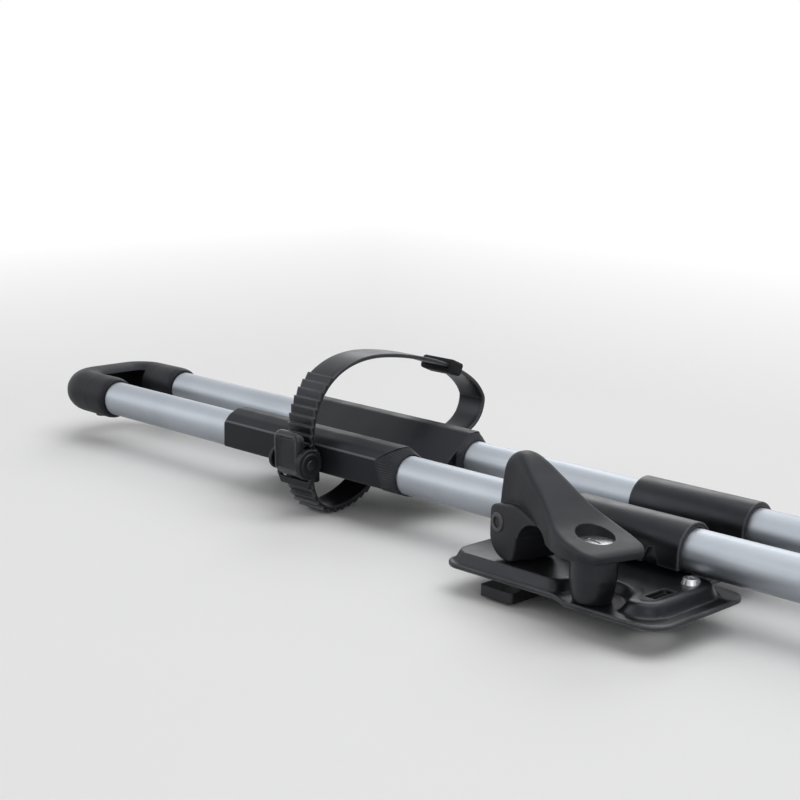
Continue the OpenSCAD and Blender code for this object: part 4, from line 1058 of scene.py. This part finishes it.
HEART_SHARE = 0.02
RIM_POINTS = 380
UNDER_RINGS = 44
UPPER_RINGS = 76
PLATE_RADII = [9, 8, 8, 11, 9, 3, 6, 6, 3, 9]
SLOT_BOX = ((-3.0, -7.5), (3.0, 7.5), 1.0)
SLOT_AT = (PLATE_FRONT - PLATE_LIP - 10.5, -60.0, 0.0)
SLOT_CUT = (-1.0, 12.0)


def box_gap(p, low, high, r):
    """Signed distance to a rectangle with round corners, negative inside."""
    low, high = np.array(low), np.array(high)
    q = np.abs(p - (low + high) / 2) - (high - low) / 2 + r
    return np.linalg.norm(np.maximum(q, 0), axis=-1) + np.minimum(q.max(-1), 0) - r


def soft_least(a, b, blend):
    """Lesser of two distances, blended where they are close."""
    near = np.clip(blend - np.abs(a - b), 0, None) / blend
    return np.minimum(a, b) - near ** 2 * blend / 4


def raised_gap(p):
    """Signed distance to the raised part: a front and a tongue, less the lock post's well."""
    both = soft_least(box_gap(p, *RAISED_BOX), box_gap(p, *TONGUE_BOX), TONGUE_BLEND)
    well = np.linalg.norm(p - [POST_X, POST_Y], axis=-1) - POST_WELL
    return -soft_least(-both, well, WELL_BLEND)


def evenly(outline, count):
    """Closed outline with points at even spacing."""
    ring = np.vstack([outline, outline[:1]])
    run = run_along(ring)
    return at_run(np.linspace(0, run[-1], count, endpoint=False), run, ring)


def plate_skin():
    """Rings of the plan drawn to its heart: hollow below, rim, then bead and flat above."""
    back = PLATE_BACK - BACK_LIP
    plan = [(back, PLATE_STEP), (STEP_X[0], PLATE_STEP), (STEP_X[1], PLATE_NEAR), (PLATE_FRONT, PLATE_NEAR),
            (PLATE_FRONT, PLATE_MID), (TONGUE_HALF, PLATE_MID), (TONGUE_HALF, PLATE_FAR),
            (-TONGUE_HALF, PLATE_FAR), (-TONGUE_HALF, PLATE_MID), (back, PLATE_MID)]
    flange = evenly(eased(plan, PLATE_RADII, 8), RIM_POINTS)
    fan = np.linspace(0, math.pi / 2, 6)
    rolled = np.stack([inset(flange, RIM_R * (1 - np.sin(a))) for a in fan])
    rim, heart = inset(flange, RIM_R), np.array(PLATE_HEART)

    def drawn(shares):
        return heart + (rim[None] - heart) * shares[:, None, None]
    under = drawn(np.linspace(HEART_SHARE, 1.0, UNDER_RINGS))
    upper = drawn(np.linspace(1.0, HEART_SHARE, UPPER_RINGS))
    gap = raised_gap(upper)
    ridge = RIDGE_H * np.exp(-((gap + RIDGE_IN) / RIDGE_W) ** 2) * smooth_step(upper[..., 0], *RIDGE_X)
    top = SHEET + (PLATE_TOP - SHEET) * smooth_step(-gap, -BEAD, BEAD_IN) + ridge
    hollow = PAD_H * smooth_step(-raised_gap(under), *HOLLOW_WALL)
    lift = np.concatenate([RIM_R * (1 - np.cos(fan[1:])), SHEET - RIM_R * (1 - np.cos(fan[:0:-1]))])
    grid = np.empty((len(under) + len(lift) + len(upper), len(flange), 3))
    grid[..., :2] = np.concatenate([under, rolled[1:], rolled[:0:-1], upper])
    grid[..., 2] = np.concatenate([hollow, np.repeat(lift[:, None], len(flange), 1), top])
    return grid


def at_foot(points, end):
    """Moves foot coordinates along the rails to a foot's place."""
    return points + np.array([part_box(end + "_foot_plate")[0].x / MM - PLATE_BACK, 0, 0])


def make_plate(end):
    """Pressed plate with its oblong slot."""
    plate = solid(at_foot(plate_skin(), end), name=end + "_pressed_plate")
    slot = slab(round_box(*SLOT_BOX), *SLOT_CUT, 2)
    combine(plate, [solid(at_foot(slot + np.array(SLOT_AT), end))])
    settle(plate, end + "_foot_plate")


# Tube clamps: a sheet's mid-line over both rails, thickened and carried along X

CLAMP_HALF = 32.0
CLAMP_DROP = 6.25
CLAMP_BEND = 3.2
CLAMP_EDGE = 0.3
RAIL_Z = 17.75
NOTCH_X = 0.54 * CLAMP_HALF
NOTCH_LINE = [(-5.5, -2), (5, -2), (1.8, 7), (-0.8, 7)]
NOTCH_CORNER = 0.6
NOTCH_OUT = 1.5
NOTCH_HALF = 4.0


def clamp_outline():
    """Mid-line of the sheet thickened to both sides, with round edges at its two free ends."""
    middle = RAIL_R + SLIDE_GAP + SHEET / 2
    web = PLATE_TOP + SHEET / 2
    arch = np.linspace(math.pi, 0, 40)
    near = np.stack([-HALF_PITCH + middle * np.cos(arch), RAIL_Z + middle * np.sin(arch)], -1)
    turn = np.linspace(math.pi, 1.5 * math.pi, 10)
    foot = np.stack([-HALF_PITCH + middle + CLAMP_BEND + CLAMP_BEND * np.cos(turn),
                     web + CLAMP_BEND + CLAMP_BEND * np.sin(turn)], -1)
    left = np.vstack([[(-HALF_PITCH - middle, RAIL_Z - CLAMP_DROP)], near, foot])
    line = np.vstack([left, (left * [-1, 1])[::-1]])
    step = unit(np.gradient(line, axis=0))
    side = np.stack([-step[:, 1], step[:, 0]], -1) * SHEET / 2
    cap = np.linspace(0, math.pi, 9)[1:-1, None]
    end = line[-1] + side[-1] * np.cos(cap) + step[-1] * np.sin(cap) * SHEET * CLAMP_EDGE
    start = line[0] - side[0] * np.cos(cap) - step[0] * np.sin(cap) * SHEET * CLAMP_EDGE
    return np.vstack([line + side, end, (line - side)[::-1], start])


def make_clamp(end):
    """Both saddles in one bent sheet, with a relief notch in each free flank."""
    sheet = slab(clamp_outline(), -CLAMP_HALF, CLAMP_HALF, 0, 0.5, 0.5)
    clamp = solid(at_foot(sheet, end), name=end + "_clamp_sheet")
    wedge = eased(NOTCH_LINE, NOTCH_CORNER) + [NOTCH_X, RAIL_Z - CLAMP_DROP]
    notches = []
    for side in SIDES:
        middle = side * (HALF_PITCH + RAIL_R + NOTCH_OUT)
        notch = slab(wedge, middle - NOTCH_HALF, middle + NOTCH_HALF, 1, 0, 0)
        notches.append(solid(at_foot(notch, end)))
    combine(clamp, notches)
    settle(clamp, end + "_tube_clamp")


# Lock posts: a profile of radius and height turned about the lock's axis

POST_LINE = [(7.6, 2.5), (8.1, 2.8), (8.5, 3.7), (9.2, 7.2), (9.85, 11.4), (10.1, 12.6), (10.25, 13.6),
             (10.25, 16.0), (10.25, 21.6), (9.95, 22.8), (9.3, 23.2), (8.6, 23.2), (8.25, 22.9), (8.25, 18.2)]
TURNED_SHARP = 50.0


def make_post(end):
    """Turned skirt and head, with the well for the lock's stem on top."""
    post = at_foot(turned(through(POST_LINE, 3), 2) + [POST_X, POST_Y, 0], end)
    body = solid(post, name=end + "_post_body", sharp=TURNED_SHARP)
    settle(body, end + "_lock_post", "post_gloss")


for end in ENDS:
    make_cradle(end)
    make_strap(end)
    make_keeper(end)
    make_buckle(end)
    make_release(end)
    make_plate(end)
    make_clamp(end)
    make_post(end)
    make_lever(end)
    make_lever_pin(end)


# Remaining solids keep their form and get true round edges

EDGE_ANGLE = 30.0
FLAT_ANGLE = math.radians(1.0)
SAME_CORNER = 2e-6

# How wide the edges of each solid are rolled
EDGE_ROLLS = {"arm_base": 1.2, "arm_foot": 0.8, "claw_body": 1.2, "claw_jaw": 1.2, "claw_knob": 1.0}
CAP_ROLL = 0.6


def round_edges(node, width):
    """A merged copy of a solid, its flat faces dissolved and its outer edges rolled by a bevel."""
    copy = bpy.data.meshes.new(node + "_form")
    work = bmesh.new()
    work.from_mesh(nodes[node].data)
    bmesh.ops.remove_doubles(work, verts=work.verts, dist=SAME_CORNER)
    bmesh.ops.dissolve_limit(work, angle_limit=FLAT_ANGLE, verts=work.verts, edges=work.edges)
    outer = work.edges.layers.float.new("bevel_weight_edge")
    for edge in work.edges:
        paired = len(edge.link_faces) == 2
        folded = paired and edge.is_convex and edge.calc_face_angle() > math.radians(EDGE_ANGLE)
        edge[outer] = 1.0 if folded else 0.0
    work.to_mesh(copy)
    work.free()
    smooth(copy, EDGE_ANGLE)
    piece = add_object(node + "_form", copy)
    roll = piece.modifiers.new("rolled_edges", "BEVEL")
    roll.width = width * MM
    roll.segments = 2
    roll.limit_method = "WEIGHT"
    roll.use_clamp_overlap = True
    roll.harden_normals = True
    settle(piece, node)


for name, width in EDGE_ROLLS.items():
    round_edges(name, width)


CAP_R = 12.3
# Radius and distance from the mouth
CAP_LIP = [(11.4, -15.0), (12.22, -14.6), (12.3, -9.0), (12.4, -3.0), (12.4, 1.0), (12.32, 2.6), (12.1, 3.9),
           (11.7, 5.0), (11.2, 5.7), (10.75, 6.0), (10.35, 6.1), (10.1, 5.9), (10.1, -3.0), (11.0, -14.6)]
SCREW_HEAD_R = 4.0
SCREW_HEAD_H = 1.5
SCREW_R = 2.0
SCREW_ROOT = 1.0
SCREW_PROUD = 0.4


def make_cap_lips(end, mouth, way):
    """A ring turned about each rail, from the sleeve's radius down to the rail."""
    ring = turned(through(CAP_LIP, 3), 0)
    ring[..., 0] = mouth + way * ring[..., 0]
    ring = np.concatenate([ring, ring[:1]])
    rings = [ring + [0, side * HALF_PITCH, rails_height()] for side in SIDES]
    lips = solid(*rings, name=end + "_cap_lips", sharp=TURNED_SHARP, caps=False)
    dress(lips, slot_of[end + "_end_cap"])
    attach(lips, nodes[end + "_end_cap"]["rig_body"])


for end, way in ENDS.items():
    low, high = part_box(end + "_end_cap")
    round_edges(end + "_end_cap", CAP_ROLL)
    make_cap_lips(end, (high.x if way > 0 else low.x) / MM, way)


def make_cap_screws():
    """Four low heads and their stems, just proud of the sleeves' undersides."""
    low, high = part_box("end_cap_screws")
    middle = (low.x + high.x) / 2 / MM
    head_r = (high.y - low.y) / 2 / MM - HALF_PITCH
    under = rails_height() - CAP_R
    reach = (high.x - low.x) / 2 / MM - head_r
    screws = []
    for way in SIDES:
        for side in SIDES:
            at = np.array([middle + way * reach, side * HALF_PITCH, 0.0])
            screws.append(round_bar(SCREW_HEAD_R, under - SCREW_PROUD, under + SCREW_HEAD_H, 2, 40, 0.4) + at)
            screws.append(round_bar(SCREW_R, under + SCREW_ROOT, high.z / MM, 2, 24, 0.2) + at)
    settle(solid(*screws, name="cap_screw_heads"), "end_cap_screws", "black_zinc")


make_cap_screws()


# Stage: a pale floor, a pale world and soft lamps

FLOOR_GAP = 0.5 * MM
FLOOR_HALF = 6.0
FLOOR_ROUGH = 0.8
FLOOR_CLOUD = 3.0
FLOOR_DARK = (0.86, 0.86, 0.86)
FLOOR_PALE = (0.88, 0.88, 0.88)
FLOOR_FADE_Y = (0.35, 1.1)
FLOOR_FADE_X = (0.85, 1.6)
WHITE = (1, 1, 1, 1)
WORLD_LIGHT = 0.22

# Each lamp's place, the point it faces, its size and its power
LAMPS = {
    "top_box": ((0.3, 0.1, 1.9), (0.1, 0.0, 0.0), 2.0, 22.0),
    "key_box": ((-1.2, -1.25, 0.85), (0.0, 0.0, 0.0), 1.2, 5.6),
    "side_box": ((1.5, -1.4, 1.0), (0.0, 0.0, 0.0), 1.0, 7.5),
    "back_box": ((-1.2, 1.6, 1.3), (0.0, 0.0, 0.0), 1.2, 10.0),
}


def make_floor(height):
    """A plain pale sheet under the part, which turns to plain white away from it."""
    corners = [(x * FLOOR_HALF, y * FLOOR_HALF, height) for x, y in ((-1, -1), (1, -1), (1, 1), (-1, 1))]
    mesh = bpy.data.meshes.new("floor")
    mesh.from_pydata(corners, [], [(0, 1, 2, 3)])
    floor = add_object("floor", mesh)
    material, tree, shader, place = new_material("floor_paint")
    paint = add_mix(tree, add_noise(tree, place, FLOOR_CLOUD, 2.0), FLOOR_DARK, FLOOR_PALE)
    set_inputs(tree, shader, {"Base Color": paint, "Roughness": FLOOR_ROUGH})
    x, y = (add_node(tree, "SeparateXYZ", axis, {"Vector": place}) for axis in "XY")
    along = add_step(tree, "Math", "SUBTRACT", x, (cad_low.x + cad_high.x) / 2)
    aside = add_range(tree, add_step(tree, "Math", "ABSOLUTE", y), 0.0, 1.0, *FLOOR_FADE_Y)
    beyond = add_range(tree, add_step(tree, "Math", "ABSOLUTE", along), 0.0, 1.0, *FLOOR_FADE_X)
    away = add_step(tree, "Math", "MAXIMUM", aside, beyond)
    glow = add_node(tree, "Emission", "Emission", {"Color": WHITE})
    blend = add_node(tree, "MixShader", "Shader", {"Fac": away, 1: shader.outputs["BSDF"], 2: glow})
    tree.links.new(blend, tree.nodes["Material Output"].inputs["Surface"])
    mesh.materials.append(material)


def make_world(strength):
    """Pale light all round, which camera and mirror rays see as white."""
    world = bpy.data.worlds.new("studio")
    scene.world = world
    world.use_nodes = True
    tree = world.node_tree
    rays = tree.nodes.new("ShaderNodeLightPath").outputs
    mirrored = add_step(tree, "Math", "MAXIMUM", rays["Is Glossy Ray"], rays["Is Transmission Ray"])
    seen = add_step(tree, "Math", "MAXIMUM", rays["Is Camera Ray"], mirrored)
    light = add_range(tree, seen, strength, 1.0, 0.0, 1.0)
    set_inputs(tree, tree.nodes["Background"], {"Color": WHITE, "Strength": light})


def make_lamp(name, at, target, size, power):
    """A square soft box at a point, facing a target."""
    data = bpy.data.lights.new(name, "AREA")
    data.shape = "SQUARE"
    data.size = size
    data.energy = power
    lamp = add_object(name, data)
    lamp.location = at
    lamp.rotation_mode = "QUATERNION"
    lamp.rotation_quaternion = (Vector(target) - Vector(at)).to_track_quat("-Z", "Y")


make_floor(cad_low.z - FLOOR_GAP)
make_world(WORLD_LIGHT)
for name, lamp in LAMPS.items():
    make_lamp(name, *lamp)

scene.view_settings.view_transform = "Standard"
